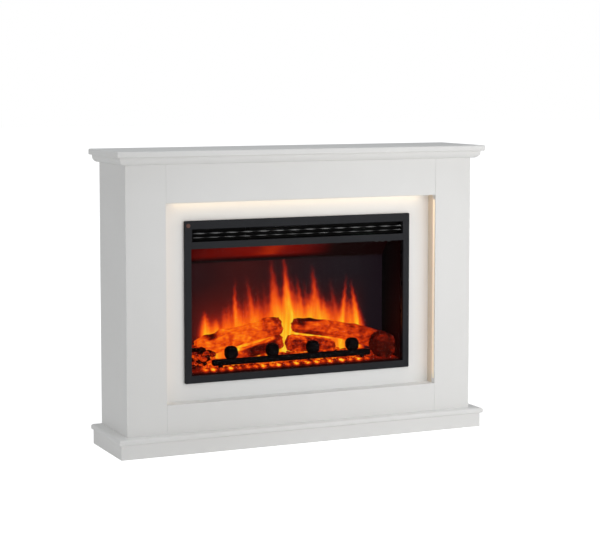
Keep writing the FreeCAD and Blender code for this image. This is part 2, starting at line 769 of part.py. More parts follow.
def fire_case():
    """The folded steel case of the fire, its lid, rear cover, heater floor and mains inlet."""
    deep = (PANEL, CASE_IN_BACK)
    wrap = new_body("firebox_wrap")
    high = "(case_top - case_sheet)"
    pad(wrap, "firebox_wrap_pad", "XZ", deep, [[
        (f"-{CASE_X}", "case_bottom"), (CASE_X, "case_bottom"), (CASE_X, high), (CASE_IN_X, high),
        (CASE_IN_X, CASE_FLOOR), (f"-{CASE_IN_X}", CASE_FLOOR),
        (f"-{CASE_IN_X}", high), (f"-{CASE_X}", high),
    ]])
    lip_x, lip_z = f"({CASE_IN_X} - flange)", f"({CASE_FLOOR} + flange)"
    pad(wrap, "firebox_wrap_flange", "XZ", (f"{CASE_IN_BACK} - case_sheet", CASE_IN_BACK), [[
        (f"-{CASE_IN_X}", CASE_FLOOR), (CASE_IN_X, CASE_FLOOR), (CASE_IN_X, high), (lip_x, high),
        (lip_x, lip_z), (f"-{lip_x}", lip_z), (f"-{lip_x}", high), (f"-{CASE_IN_X}", high),
    ]])
    node(wrap)
    lid_slots = ("fan_y - vent_long / 2", "fan_y + vent_long / 2 - 8")
    node(vented_plate("top_cover", "XY", (high, "case_top"), (f"-{CASE_X}", CASE_X), deep, lid_slots))
    back = vented_plate("rear_cover", "XZ", (CASE_IN_BACK, "case_back"), (f"-{CASE_X}", CASE_X),
                        ("case_bottom", "case_top"), ("case_bottom + 140", "case_bottom + 140 + vent_long"))
    middle = f"({CASE_X} - inlet_from_side)"
    inlet_x = (f"{middle} - inlet_wide / 2", f"{middle} + inlet_wide / 2")
    inlet_z = ("case_bottom + inlet_rise", "case_bottom + inlet_rise + inlet_high")
    pocket(back, "rear_cover_inlet", "XZ", (CASE_IN_BACK, "case_back"), [corners(inlet_x, inlet_z)])
    node(back)
    node(box("heater_shelf", (f"-{CASE_IN_X}", CASE_IN_X), (f"{PANEL} + 1", f"{CASE_IN_BACK} - case_sheet"),
             ("heater_floor", HEATER_TOP)))
    shell = box("inlet_shell", inlet_x, ("case_back - 22", "case_back + 3"), inlet_z)
    mouth_x, mouth_z = [(f"{low} + inlet_wall", f"{top} - inlet_wall") for low, top in (inlet_x, inlet_z)]
    mouth = box("inlet_mouth", mouth_x, ("case_back - 14", "case_back + 4"), mouth_z)
    pins = []
    for i in (-1, 0, 1):
        pin_x = f"{middle} + {i} * inlet_wide / 4"
        pin_z = (f"{inlet_z[0]} + inlet_high / 2 - 2", f"{inlet_z[0]} + inlet_high / 2 + 2")
        pin = (f"{pin_x} - 1", f"{pin_x} + 1")
        pins.append(box(f"inlet_pin_{i + 1}", pin, ("case_back - 15", "case_back - 2"), pin_z))
    node(fuse("mains_inlet", cut("inlet_socket", shell, mouth), *pins))
    brackets = []
    for name, low in (("low", "fixing_low"), ("upper", "fixing_upper")):
        z = (low, f"{low} + fixing_high")
        back_face = f"({PANEL} + panel_thick)"
        thin = [(start, f"{start} + bracket_thick") for start in (CASE_X, back_face)]
        long = [(start, f"{start} + fixing_leg") for start in (CASE_X, back_face)]
        case_leg = box(f"fixing_{name}_case_leg", thin[0], long[1], z)
        panel_leg = box(f"fixing_{name}_panel_leg", long[0], thin[1], z)
        bracket = fuse(f"fixing_{name}_right", case_leg, panel_leg)
        brackets += [bracket, mirror(bracket, f"fixing_{name}_left")]
    group("fire_fixing_brackets", brackets)


def window_parts():
    """The glass, the side liners, the flame screen and the sloping baffle above it."""
    node(box("glass_pane", (f"-{CASE_IN_X} + 0.5", f"{CASE_IN_X} - 0.5"), ("glass_front", GLASS_BACK),
             (f"{CASE_FLOOR} + 0.5", "heater_floor - 0.5")))
    liner = box("liner_right", (f"{CASE_IN_X} - liner_thick", CASE_IN_X), (GLASS_BACK, "screen_front"),
                (CASE_FLOOR, "heater_floor"))
    group("side_liners", [liner, mirror(liner, "liner_left")])
    inner = f"({CASE_IN_X} - liner_thick)"
    node(box("flame_screen", (f"-{CASE_IN_X}", CASE_IN_X), ("screen_front", "screen_front + screen_thick"),
             (CASE_FLOOR, "screen_top")))
    baffle = new_body("screen_baffle")
    thick = "baffle_thick"
    lean = f"(screen_front - {thick})"
    lip_low = "(screen_top - baffle_lip)"
    profile = [
        (lean, lip_low), ("screen_front", lip_low), ("screen_front", "screen_top + 1"),
        (f"baffle_front + {thick}", "heater_floor"), ("baffle_front", "heater_floor"), (lean, "screen_top"),
    ]
    pad(baffle, "screen_baffle_pad", "YZ", (f"-{inner}", inner), [profile])
    node(baffle)


# ---------------------------------------------------------------- fire: flame effect

def flame_effect():
    """A turning spindle of foil flags behind the screen, its motor, bush and lamp board."""
    body = new_body("flicker_spindle")
    end = "spindle_half"
    pad(body, "spindle_rod", "YZ", (f"-{end}", end), [], [("spindle_y", "spindle_z", "spindle_rod")])
    thin_y, thin_z = [(f"{c} - flag_thick / 2", f"{c} + flag_thick / 2") for c in ("spindle_y", "spindle_z")]
    wide_y, wide_z = [(f"{c} - flag_reach", f"{c} + flag_reach") for c in ("spindle_y", "spindle_z")]
    upright, level = corners(thin_y, wide_z), corners(wide_y, thin_z)
    count = 10
    for name, shift, points in (("flag_upright", "0", upright), ("flag_level", "flag_pitch / 2", level)):
        start = f"(-flag_pitch * {count / 2} + {shift} + flag_long / 4)"
        flag = pad(body, name, "YZ", (start, f"{start} + flag_long"), [points])
        row_of(body, f"{name}_row", flag, count, f"flag_pitch * {count - 1}", "N_Axis")
    node(body)
    axle = ("spindle_y", "spindle_z")
    bore = "spindle_rod + bush_clearance"
    can = rod("motor_can", "x", "motor_radius", axle, (f"-{end} - motor_long + 8", f"-{end} + 8"))
    foot = box("motor_foot", (f"-{end} - 10", f"-{end} + 4"), ("spindle_y - 12", "spindle_y + 12"),
               (CASE_FLOOR, "spindle_z - motor_radius + 2"))
    drill = rod("motor_drill", "x", bore, axle, (f"-{end} - 1", f"-{end} + 9"))
    node(cut("flicker_motor", fuse("motor_solid", can, foot), drill))
    post = box("bush_post", (f"{end} - 8", f"{end} - 2"), ("spindle_y - 8", "spindle_y + 8"),
               (CASE_FLOOR, "spindle_z + 8"))
    foot = box("bush_foot", (f"{end} - 22", f"{end} - 2"), ("spindle_y - 8", "spindle_y + 8"),
               (CASE_FLOOR, f"{CASE_FLOOR} + 2"))
    drill = rod("bush_drill", "x", bore, axle, (f"{end} - 10", end))
    node(cut("spindle_bush", fuse("bush_solid", post, foot), drill))
    lamp_board("flame_lamp_board", ("spindle_y - 16", "spindle_y - 6"), "250", CASE_FLOOR)
    lamp_board("ember_lamp_board", ("26", "46"), "230", CASE_FLOOR)


def lamp_board(name, y, half, floor):
    """A long circuit board with a row of lamps."""
    body = new_body(name)
    middle = f"(({y[0]} + {y[1]}) / 2)"
    pad(body, f"{name}_pad", "XY", (floor, f"{floor} + 1.6"), [corners((f"-{half}", half), y)])
    lamp = pad(body, f"{name}_lamp", "XY", (f"{floor} + 1.6", f"{floor} + 4"),
               [corners((f"-{half} + 10", f"-{half} + 15"), (f"{middle} - 2.5", f"{middle} + 2.5"))])
    row_of(body, f"{name}_lamps", lamp, 16, f"2 * {half} - 25")
    node(body)


def fuel_bed():
    """The hollow ember tray, five logs and the cast grate in front of them."""
    tray = new_body("ember_bed")
    inner = f"({CASE_IN_X} - liner_thick - ember_side_gap)"
    back = "(screen_front - 2)"
    step = "ember_step"
    pad(tray, "ember_bed_pad", "YZ", (f"-{inner}", inner), [[
        ("ember_front", CASE_FLOOR), (back, CASE_FLOOR), (back, "ember_high"),
        (step, "ember_high"), (f"{step} - 8", "ember_low"), ("ember_front", "ember_low"),
    ]])
    wall = "ember_wall"
    pocket(tray, "ember_bed_hollow", "XY", (CASE_FLOOR, f"ember_high - {wall}"),
           [corners((f"-{inner} + {wall}", f"{inner} - {wall}"), (f"{step} + {wall}", f"{back} - {wall}"))])
    node(tray)
    for name in LOGS:
        start = Vector(*[value(f"{name}_{key}") for key in ("x0", "y0", "z0")])
        along = Vector(*[value(f"{name}_{key}") for key in ("x1", "y1", "z1")]) - start
        log = doc.addObject("Part::Cone", name)
        log.Placement = FreeCAD.Placement(start, Rotation(Vector(0, 0, 1), along))
        log.setExpression("Radius1", bind(f"{name}_ra"))
        log.setExpression("Radius2", bind(f"{name}_rb"))
        span = " + ".join(f"({name}_{a}1 - {name}_{a}0)^2" for a in "xyz")
        log.setExpression("Height", bind(f"sqrt({span})"))
        node(log)
    bar_y = ("grate_y - grate_bar / 2", "grate_y + grate_bar / 2")
    ends = ("(grate_shift - grate_half)", "(grate_shift + grate_half)")
    bar = box("grate_bar", ends, bar_y, ("grate_low", "grate_low + grate_high"))
    feet = []
    for side, x in (("left", f"{ends[0]} + 20"), ("right", f"{ends[1]} - 20 - grate_foot")):
        foot_y = ("grate_y - grate_foot / 2", "grate_y + grate_foot / 2")
        foot_x, foot_z = (x, f"{x} + grate_foot"), ("ember_low", "grate_low + 2")
        feet.append(box(f"grate_foot_{side}", foot_x, foot_y, foot_z))
    knobs = []
    for i, place in enumerate((-1.5, -0.5, 0.5, 1.5)):
        knob = doc.addObject("Part::Sphere", f"grate_knob_{i}")
        knob.setExpression("Radius", bind("knob_radius"))
        for axis, text in (("x", f"grate_shift + knob_pitch * {place}"), ("y", "grate_y"), ("z", "knob_middle")):
            knob.setExpression(f"Placement.Base.{axis}", bind(text))
        knobs.append(knob)
    node(fuse("fire_grate", bar, *feet, *knobs))


# ---------------------------------------------------------------- fire: heater and controls

def blower():
    """The cross-flow fan with its duct and motor, and the heating element in front of it."""
    fan = new_body("blower_impeller")
    end = "fan_half"
    axle = ("fan_y", "fan_z")
    outer = "fan_radius"
    pad(fan, "fan_shaft", "YZ", (f"-{end} - 6", f"{end} + 18"), [], [(*axle, "shaft_radius")])
    blade_y = ("fan_y - blade_thick / 2", "fan_y + blade_thick / 2")
    blade = pad(fan, "fan_blade", "YZ", (f"-{end}", end),
                [corners(blade_y, (f"fan_z + {outer} - blade_deep", f"fan_z + {outer} - 0.5"))])
    ring_of(fan, "fan_blades_ring", blade, *axle, int(value("fan_blades")))
    for i, x in enumerate((f"-{end}", "-fan_disc / 2", f"{end} - fan_disc")):
        pad(fan, f"fan_disc_{i}", "YZ", (x, f"{x} + fan_disc"), [], [(*axle, outer)])
    node(fan)
    floor, roof = HEATER_TOP, "(case_top - case_sheet)"
    front, back = "(heater_y + heater_deep / 2 + 1)", "(fan_y + fan_radius + 6)"
    wide = f"({end} + 4)"
    sheet_t = "duct_sheet"
    bore = "shaft_radius + bush_clearance"
    duct = new_body("blower_duct")
    pad(duct, "blower_duct_pad", "YZ", (f"-{wide}", wide), [[
        (front, floor), (back, floor), (back, roof), (f"{back} - {sheet_t}", roof),
        (f"{back} - {sheet_t}", f"{floor} + {sheet_t}"), (front, f"{floor} + {sheet_t}"),
    ]])
    for i, span in enumerate(((f"-{wide}", f"-{wide} + {sheet_t}"), (f"{wide} - {sheet_t}", wide))):
        cheek = corners((front, back), (floor, roof))
        pad(duct, f"blower_duct_cheek_{i}", "YZ", span, [cheek], [(*axle, bore)])
    node(duct)
    can = rod("blower_can", "x", "fan_radius", axle, (f"{end} + 12", f"{end} + 46"))
    foot_z = (floor, "fan_z - fan_radius + 3")
    foot = box("blower_foot", (f"{end} + 16", f"{end} + 42"), ("fan_y - 12", "fan_y + 12"), foot_z)
    drill = rod("blower_drill", "x", bore, axle, (f"{end} + 11", f"{end} + 20"))
    node(cut("blower_motor", fuse("blower_solid", can, foot), drill))
    y = ("heater_y - heater_deep / 2", "heater_y + heater_deep / 2")
    z = (floor, f"{roof} - 1")
    frame = box("heater_frame", (f"-{end}", end), y, z)
    window = box("heater_window", (f"-{end} + heater_rim", f"{end} - heater_rim"),
                 (f"{y[0]} - 1", f"{y[1]} + 1"), (f"{z[0]} + heater_rim", f"{z[1]} - heater_rim"))
    wires = []
    count = 7
    for i in range(count):
        level = f"{z[0]} + heater_rim + ({z[1]} - {z[0]} - 2 * heater_rim) * {i + 0.5} / {count}"
        wires.append(rod(f"heater_wire_{i}", "x", "wire_radius", ("heater_y", level),
                         (f"-{end} + heater_rim - 1", f"{end} - heater_rim + 1")))
    node(fuse("heating_element", cut("heater_mica", frame, window), *wires))


def button_plan(i, gap):
    """The x and y ends of button i, grown by a gap."""
    middle = f"(button_first + {i} * button_pitch)"
    x = (f"{middle} - button_wide / 2 - {gap}", f"{middle} + button_wide / 2 + {gap}")
    y = (f"button_y - button_deep / 2 - {gap}", f"button_y + button_deep / 2 + {gap}")
    return x, y


def controls():
    """Three push buttons under the lintel, their switch board, the remote's lens and the circuit board."""
    seat = f"({VIEW_TOP} + bezel_sheet)"
    for i, name in enumerate(BUTTONS):
        x, y = button_plan(i, "0")
        rim_x = (f"{x[0]} - button_rim", f"{x[1]} + button_rim")
        rim_z = (f"{seat} + button_lift", f"{seat} + button_rim")
        cap = box(f"{name}_cap", x, y, (f"{seat} - bezel_sheet - button_drop", rim_z[1]))
        node(fuse(name, cap, box(f"{name}_flange", rim_x, y, rim_z)))
    left = "(button_first - button_pitch)"
    right = f"(button_first + {len(BUTTONS)} * button_pitch)"
    y = (f"{BEZEL_Y} + bezel_sheet + 0.3", "glass_front - 0.5")
    board_z = ("switch_board_low", "switch_board_low + switch_board_thick")
    strip = box("switch_board", (left, right), y, board_z)
    feet = [box(f"switch_foot_{i}", x, y, (seat, "switch_board_low + 0.5"))
            for i, x in enumerate(((left, f"{left} + 6"), (f"{right} - 6", right)))]
    node(fuse("control_strip", strip, *feet))
    at = ("-lens_side", "lens_height")
    lens = rod("lens_face", "y", "lens_radius - 0.1", at, (f"{BEZEL_Y} - 0.6", f"{BEZEL_Y} + 3"))
    rim_y = (f"{BEZEL_Y} + bezel_sheet + 0.1", f"{BEZEL_Y} + 4")
    rim = rod("lens_rim", "y", "lens_radius + 1.5", at, rim_y)
    node(fuse("remote_lens", lens, rim))
    low = f"({HEATER_TOP} + board_lift)"
    x, y = ("board_x", "board_x + board_long"), ("board_y", "board_y + board_wide")
    board = box("board_sheet", x, y, (low, f"{low} + board_thick"))
    pieces = []
    for name, (x0, y0, long, wide, high) in BOARD_PIECES.items():
        piece_x = (f"board_x + {x0}", f"board_x + {x0 + long}")
        piece_y = (f"board_y + {y0}", f"board_y + {y0 + wide}")
        piece_z = (f"{low} + 1", f"{low} + board_thick + {high}")
        pieces.append(box(f"board_{name}", piece_x, piece_y, piece_z))
    for i, px in enumerate((f"{x[0]} + post_inset", f"{x[1]} - post_inset")):
        for j, py in enumerate((f"{y[0]} + post_inset", f"{y[1]} - post_inset")):
            post_z = (HEATER_TOP, f"{low} + 1")
            pieces.append(rod(f"board_post_{i}{j}", "z", "post_radius", (px, py), post_z))
    node(fuse("control_board", board, *pieces))


def fasteners():
    """Pan-head screws: eight in the rear cover, four in the wall brackets, four in the fixing brackets."""
    items = []
    side, low, high = f"({CASE_X} - 9)", "(case_bottom + 9)", "(case_top - 15)"
    spots = [(f"{sign}{side}", z) for sign in ("-", "") for z in (low, "(case_bottom + 210)", high)]
    spots += [("-150", low), ("150", low)]
    for i, spot in enumerate(spots):
        items.append(screw(f"cover_screw_{i}", "y", spot, "case_back", "+"))
    rights = []
    for i, z in enumerate(("bracket_middle - bracket_high / 4", "bracket_middle + bracket_high / 4")):
        at, seat = (f"{REAR} - bracket_leg / 2", z), f"({SIDE_IN_X} - bracket_thick)"
        rights.append(screw(f"side_screw_{i}", "x", at, seat, "-"))
    for i, z in enumerate(("fixing_low + fixing_high / 2", "fixing_upper + fixing_high / 2")):
        seat = f"({PANEL} + panel_thick + bracket_thick)"
        rights.append(screw(f"fixing_screw_{i}", "y", (f"{CASE_X} + fixing_leg * 0.6", z), seat, "+"))
    items += rights + [mirror(item, f"{item.Name}_left") for item in rights]
    group("pan_head_screws", items)


# ---------------------------------------------------------------- assembly and export

rounded_board("mantel_shelf", (SHELF_Z, "total_height"), "shelf_round")
cornice()
surround_boards()
recess_boards()
rounded_board("base_board", (HEARTH_Z, "base_high"), "nose_round")
plinth()
carcass_fittings()
lighting()
lighting_lead()
front_bezel()
air_outlet()
fire_case()
window_parts()
flame_effect()
fuel_bed()
blower()
controls()
fasteners()
doc.recompute()

for item in doc.Objects:
    if "Invalid" in item.State or "Error" in item.State:
        raise ValueError(f"{item.Label} did not build: {item.State}")
os.makedirs("parts", exist_ok=True)
for stale in os.listdir("parts"):
    os.remove(os.path.join("parts", stale))
for item in PARTS:
    shape = item.Shape
    if shape.isNull() or not shape.isValid() or not shape.Solids:
        raise ValueError(f"{item.Label} has no sound shape")
    shape.exportStep(f"parts/{item.Label}.step")
    print(f"{item.Label}: {len(shape.Solids)} solid(s), {shape.Volume / 1000:.1f} cm3")
print(len(PARTS), "nodes")
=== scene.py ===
"""The looks of the electric fireplace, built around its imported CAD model. Metres, in the part's own frame."""

import json
import math
import random

import bpy
import numpy as np
from mathutils import Matrix, Vector, noise


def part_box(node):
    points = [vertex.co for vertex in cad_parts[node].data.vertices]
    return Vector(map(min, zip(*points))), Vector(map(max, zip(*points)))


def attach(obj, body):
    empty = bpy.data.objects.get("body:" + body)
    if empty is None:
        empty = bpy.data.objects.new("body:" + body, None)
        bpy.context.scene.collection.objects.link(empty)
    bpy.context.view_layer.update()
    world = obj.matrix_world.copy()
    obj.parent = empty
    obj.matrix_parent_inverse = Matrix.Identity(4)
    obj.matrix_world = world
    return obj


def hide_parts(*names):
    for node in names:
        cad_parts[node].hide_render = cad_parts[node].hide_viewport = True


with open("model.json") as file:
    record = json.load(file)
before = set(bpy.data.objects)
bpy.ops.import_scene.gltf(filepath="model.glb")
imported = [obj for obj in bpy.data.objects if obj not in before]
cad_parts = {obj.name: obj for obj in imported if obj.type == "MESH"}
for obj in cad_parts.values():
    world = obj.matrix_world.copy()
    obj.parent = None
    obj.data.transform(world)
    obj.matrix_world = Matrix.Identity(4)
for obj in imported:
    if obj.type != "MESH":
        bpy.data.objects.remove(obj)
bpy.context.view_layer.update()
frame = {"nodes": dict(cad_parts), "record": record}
NODES = frame["nodes"]
SLOT_OF = {row["node"]: row["material_slot"] for row in frame["record"]["subparts"]}
MM = 0.001

# noise_vector starts from the clock unless it is seeded.
noise.seed_set(7)


# ---------------------------------------------------------------- shader tools

class Shader:
    """A material whose node tree is built with short calls."""

    def __init__(self, name, **surface):
        self.material = bpy.data.materials.new(name)
        self.material.use_nodes = True
        self.tree = self.material.node_tree
        self.surface = self.tree.nodes["Principled BSDF"]
        self.place = self.node("TexCoord").outputs["Object"]
        for socket, source in surface.items():
            self.set(socket.replace("_", " ").title(), source)

    def put(self, socket, source):
        if isinstance(source, bpy.types.NodeSocket):
            self.tree.links.new(source, socket)
        else:
            wide = hasattr(source, "__len__") and socket.type == "RGBA" and len(source) == 3
            socket.default_value = (*source, 1) if wide else source

    def set(self, socket, source):
        """Puts a number, a colour or another node's output on the main shader."""
        self.put(self.surface.inputs[socket], source)

    def node(self, kind, inputs=None, **settings):
        item = self.tree.nodes.new(f"ShaderNode{kind}")
        for key, setting in settings.items():
            setattr(item, key, setting)
        for key, source in (inputs or {}).items():
            self.put(item.inputs[key], source)
        return item

    def stretched(self, scale):
        """The object's coordinates, multiplied by a scale for each axis."""
        return self.node("Mapping", {"Vector": self.place, "Scale": scale}).outputs["Vector"]

    def noise(self, scale, detail=3, vector=None, roughness=0.5, distortion=0):
        inputs = {"Vector": vector or self.place, "Scale": scale, "Detail": detail,
                  "Roughness": roughness, "Distortion": distortion}
        return self.node("TexNoise", inputs).outputs["Fac"]

    def cells(self, scale, feature="F1", output="Distance", randomness=1):
        inputs = {"Vector": self.place, "Scale": scale, "Randomness": randomness}
        return self.node("TexVoronoi", inputs, feature=feature).outputs[output]

    def ramp(self, source, *stops):
        """A colour for each level of the source; a stop is a level and a colour or a grey."""
        item = self.node("ValToRGB", {"Fac": source})
        elements = item.color_ramp.elements
        while len(elements) < len(stops):
            elements.new(1)
        for element, (level, colour) in zip(elements, stops):
            element.position = level
            element.color = (*colour, 1) if hasattr(colour, "__len__") else (colour, colour, colour, 1)
        return item.outputs["Color"]

    def mix(self, share, a, b, blend="MIX"):
        item = self.node("Mix", data_type="RGBA", blend_type=blend)
        self.put(item.inputs[0], share)
        self.put(item.inputs[6], a)
        self.put(item.inputs[7], b)
        return item.outputs[2]

    def maths(self, operation, a, b=0.5, clamp=False):
        item = self.node("Math", operation=operation, use_clamp=clamp)
        self.put(item.inputs[0], a)
        self.put(item.inputs[1], b)
        return item.outputs[0]

    def between(self, source, low, high, to_low=0.0, to_high=1.0):
        inputs = {"Value": source, "From Min": low, "From Max": high, "To Min": to_low, "To Max": to_high}
        return self.node("MapRange", inputs).outputs["Result"]

    def value(self, name):
        """A number painted on the mesh's vertices."""
        return self.node("Attribute", attribute_name=name).outputs["Fac"]

    def axis(self, letter):
        return self.node("SeparateXYZ", {"Vector": self.place}).outputs[letter]

    def bump(self, height, distance, strength):
        inputs = {"Height": height, "Distance": distance, "Strength": strength}
        self.set("Normal", self.node("Bump", inputs).outputs["Normal"])


# ---------------------------------------------------------------- materials

def white_paint():
    """Satin paint rolled on fibreboard: fine orange peel, and the faintest unevenness of tone."""
    s = Shader("white_paint")
    cloud = s.noise(2.2, 4)
    s.set("Base Color", s.ramp(cloud, (0.3, (0.795, 0.79, 0.775)), (0.7, (0.83, 0.826, 0.815))))
    s.set("Roughness", s.between(s.noise(55, 5), 0.3, 0.7, 0.34, 0.47))
    s.set("Specular IOR Level", 0.42)
    fine, coarse = s.maths("MULTIPLY", s.noise(620, 2), 0.6), s.maths("MULTIPLY", s.noise(170, 3), 0.4)
    peel = s.maths("ADD", fine, coarse)
    s.bump(peel, 0.00012, 0.5)
    return s


def panel_paint():
    """The panel that holds the fire, in the same satin made whiter and a touch cooler: painted light making up
    for the shade of the recess.
    """
    s = white_paint()
    s.material.name = "panel_paint"
    paint = s.surface.inputs["Base Color"].links[0].from_socket
    # Painted light: the panel's paint lightened, and cooled a touch, to make up for the recess's shade.
    s.set("Base Color", s.mix(1.0, paint, (1.07, 1.08, 1.09), "MULTIPLY"))
    return s


def lit_reveal():
    """The same paint at the recess's sides, with the warm light of the strip lights beside it painted into its
    colour.
    """
    s = white_paint()
    s.material.name = "lit_reveal"
    paint = s.surface.inputs["Base Color"].links[0].from_socket
    # Painted light: the strip lights' warmth multiplied into the paint's colour.
    s.set("Base Color", s.mix(1.0, paint, (1.0, 0.87, 0.71), "MULTIPLY"))
    return s


def raw_board():
    """Bare medium-density fibreboard, sawn: pressed fibres and darker flecks."""
    s = Shader("raw_board")
    fibre = s.noise(900, 6, s.stretched((0.35, 1, 1)))
    fleck = s.cells(700, "F1")
    tan = s.ramp(fibre, (0.25, (0.33, 0.215, 0.12)), (0.75, (0.50, 0.36, 0.22)))
    s.set("Base Color", s.mix(s.between(fleck, 0.0, 0.16, 0.5, 0), tan, (0.22, 0.13, 0.07)))
    s.set("Roughness", s.between(fibre, 0.2, 0.8, 0.78, 0.92))
    s.bump(fibre, 0.0003, 0.6)
    return s


def zinc_steel():
    """Hot-dip zinc with its spangle."""
    s = Shader("zinc_steel", metallic=1.0)
    tint = s.node("TexVoronoi", {"Vector": s.place, "Scale": 95}).outputs["Color"]
    grey = s.node("RGBToBW", {"Color": tint}).outputs["Val"]
    soil = s.noise(9, 5)
    spangle = s.ramp(grey, (0.2, (0.50, 0.52, 0.53)), (0.8, (0.68, 0.70, 0.71)))
    s.set("Base Color", s.mix(s.between(soil, 0.4, 0.8, 0, 0.35), spangle, (0.42, 0.43, 0.43)))
    s.set("Roughness", s.between(grey, 0.1, 0.9, 0.26, 0.48))
    s.bump(s.noise(30, 4), 0.0006, 0.25)
    return s


def case_steel(node, across):
    """A sheet of the case: bare zinc on its outer face, black on its inner one."""
    s = zinc_steel()
    s.material.name = f"{node}_steel"
    face = getattr(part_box(node)[1], across.lower())
    dark_at, bare_at = 0.0009, 0.0006  # depths under the outer face, between the sheet's two skins
    outside = s.between(s.maths("ABSOLUTE", s.axis(across)), face - dark_at, face - bare_at)
    bare = s.surface.inputs["Base Color"].links[0].from_socket
    s.set("Base Color", s.mix(outside, (0.003, 0.003, 0.003), bare))
    s.set("Metallic", outside)
    return s


def charcoal_paint():
    """Fine-textured charcoal powder coat."""
    s = Shader("charcoal_paint")
    dark, light = (0.0125, 0.0135, 0.0165), (0.0165, 0.018, 0.0215)
    s.set("Base Color", s.ramp(s.noise(6, 4), (0.3, dark), (0.7, light)))
    s.set("Roughness", s.between(s.noise(260, 3), 0.3, 0.7, 0.42, 0.56))
    s.set("Specular IOR Level", 0.15)
    s.bump(s.noise(1400, 2), 0.00012, 0.5)
    return s


def louvre_paint():
    """The slats' smoother black enamel, which catches a line of light."""
    s = Shader("louvre_enamel")
    s.set("Base Color", s.ramp(s.noise(12, 3), (0.3, (0.005, 0.0055, 0.006)), (0.7, (0.009, 0.0095, 0.0105))))
    s.set("Roughness", s.between(s.noise(180, 3), 0.3, 0.7, 0.14, 0.22))
    s.set("Specular IOR Level", 0.9)
    s.set("IOR", 1.6)
    s.bump(s.noise(700, 2), 0.00006, 0.4)
    return s


def black_paint(name="black_paint", heat=None):
    """Matt black heat-proof paint, with its faint grain; heat, when given, adds painted firelight to it as
    emission.
    """
    s = Shader(name)
    dark, light = (0.0025, 0.0025, 0.0025), (0.005, 0.0045, 0.0045)
    s.set("Base Color", s.ramp(s.noise(14, 4), (0.3, dark), (0.7, light)))
    s.set("Roughness", s.between(s.noise(300, 3), 0.3, 0.7, 0.42, 0.6))
    s.set("Specular IOR Level", 0.05)
    s.bump(s.noise(1100, 2), 0.0001, 0.4)
    # heat paints the light of the flames on the surface: painted light.
    if heat:
        heat(s)
    return s


def firelight_on_baffle(s):
    """Red light from the flames: brightest left of the middle, gone at the right and the low edge."""
    x, z = s.axis("X"), s.axis("Z")
    left = s.between(x, -0.34, -0.04, 0.36, 0.92)
    right = s.between(x, 0.0, 0.16, 1.0, 0.0)
    along = s.maths("MULTIPLY", left, right)
    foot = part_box("screen_baffle")[0].z
    band = s.between(z, foot + 0.008, foot + 0.020, 0.0, 1.0)
    drift = s.between(s.noise(9, 2, s.stretched((1, 1, 0.4))), 0.3, 0.7, 0.75, 1.15)
    level = s.maths("MULTIPLY", s.maths("MULTIPLY", along, band), drift)
    colour = s.ramp(level, (0.0, (0.004, 0.0, 0.0)), (0.35, (0.060, 0.0006, 0.0004)),
                    (0.75, (0.16, 0.003, 0.0008)), (1.0, (0.44, 0.024, 0.002)))
    s.set("Emission Color", colour)
    s.set("Emission Strength", 1.0)


def firelight_on_liner(s):
    """A dull red sheen on the side walls, stronger towards the front and lower down."""
    y, z = s.axis("Y"), s.axis("Z")
    front = s.between(y, 0.06, -0.035, 0.0, 1.0)
    height = s.between(z, 0.23, 0.50, 1.0, 0.25)
    level = s.maths("MULTIPLY", front, height)
    s.set("Emission Color", s.ramp(level, (0.0, (0.0, 0.0, 0.0)), (1.0, (0.011, 0.0006, 0.0004))))
    s.set("Emission Strength", 1.0)


def plastic(name, dark, light, rough=(0.38, 0.5)):
    """Moulded plastic with a fine spark-eroded grain."""
    s = Shader(name)
    s.set("Base Color", s.ramp(s.noise(18, 3), (0.3, dark), (0.7, light)))
    s.set("Roughness", s.between(s.noise(220, 3), 0.3, 0.7, *rough))
    s.set("Specular IOR Level", 0.25)
    s.bump(s.noise(1300, 2), 0.00008, 0.5)
    return s


def lit_cover():
    """Frosted cover over the strip lights: a warm line, a little brighter over each lamp."""
    s = Shader("lit_cover", base_color=(0.9, 0.85, 0.75), roughness=0.5)
    run = s.maths("ADD", s.axis("X"), s.axis("Z"))
    ripple = s.maths("SINE", s.maths("MULTIPLY", run, 2 * math.pi / 0.025))
    warm = s.ramp(s.between(ripple, -1, 1), (0, (1.0, 0.68, 0.38)), (1, (1.0, 0.72, 0.42)))
    low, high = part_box("led_covers")
    height = s.between(s.axis("Z"), low.z, high.z)
    power = s.ramp(height, (0.0, 0.26), (0.55, 0.34), (0.97, 0.50), (0.98, 1.0))
    s.set("Emission Color", s.mix(1.0, warm, power, "MULTIPLY"))
    s.set("Emission Strength", LED_POWER)
    return s


def lamp_board():
    """White solder mask with the printed rows of copper showing through."""
    s = Shader("lamp_board")
    inputs = {"Vector": s.place, "Scale": 160, "Distortion": 0.4}
    lines = s.node("TexWave", inputs, wave_type="BANDS").outputs["Fac"]
    s.set("Base Color", s.ramp(lines, (0.45, (0.78, 0.75, 0.66)), (0.55, (0.84, 0.82, 0.76))))
    s.set("Roughness", s.between(s.noise(120), 0.3, 0.7, 0.3, 0.42))
    s.bump(lines, 0.00005, 0.5)
    return s


def window_glass():
    """Clear float glass: almost nothing but a faint reflection."""
    s = Shader("window_glass", base_color=(0.02, 0.02, 0.02), alpha=0.02)
    s.set("Specular IOR Level", 0.3)
    s.set("Roughness", s.between(s.noise(30, 4), 0.35, 0.7, 0.015, 0.05))
    s.bump(s.noise(7, 1), 0.0004, 0.05)
    s.material.surface_render_method = "BLENDED"
    return s


def bright_foil():
    """Bright rolled aluminium, lightly creased."""
    s = Shader("bright_foil", metallic=1.0, base_color=(0.83, 0.83, 0.84))
    rolled = s.noise(60, 4, s.stretched((0.08, 1, 1)))
    s.set("Roughness", s.between(rolled, 0.3, 0.7, 0.14, 0.34))
    s.bump(s.maths("ADD", rolled, s.noise(140, 3)), 0.0003, 0.4)
    return s


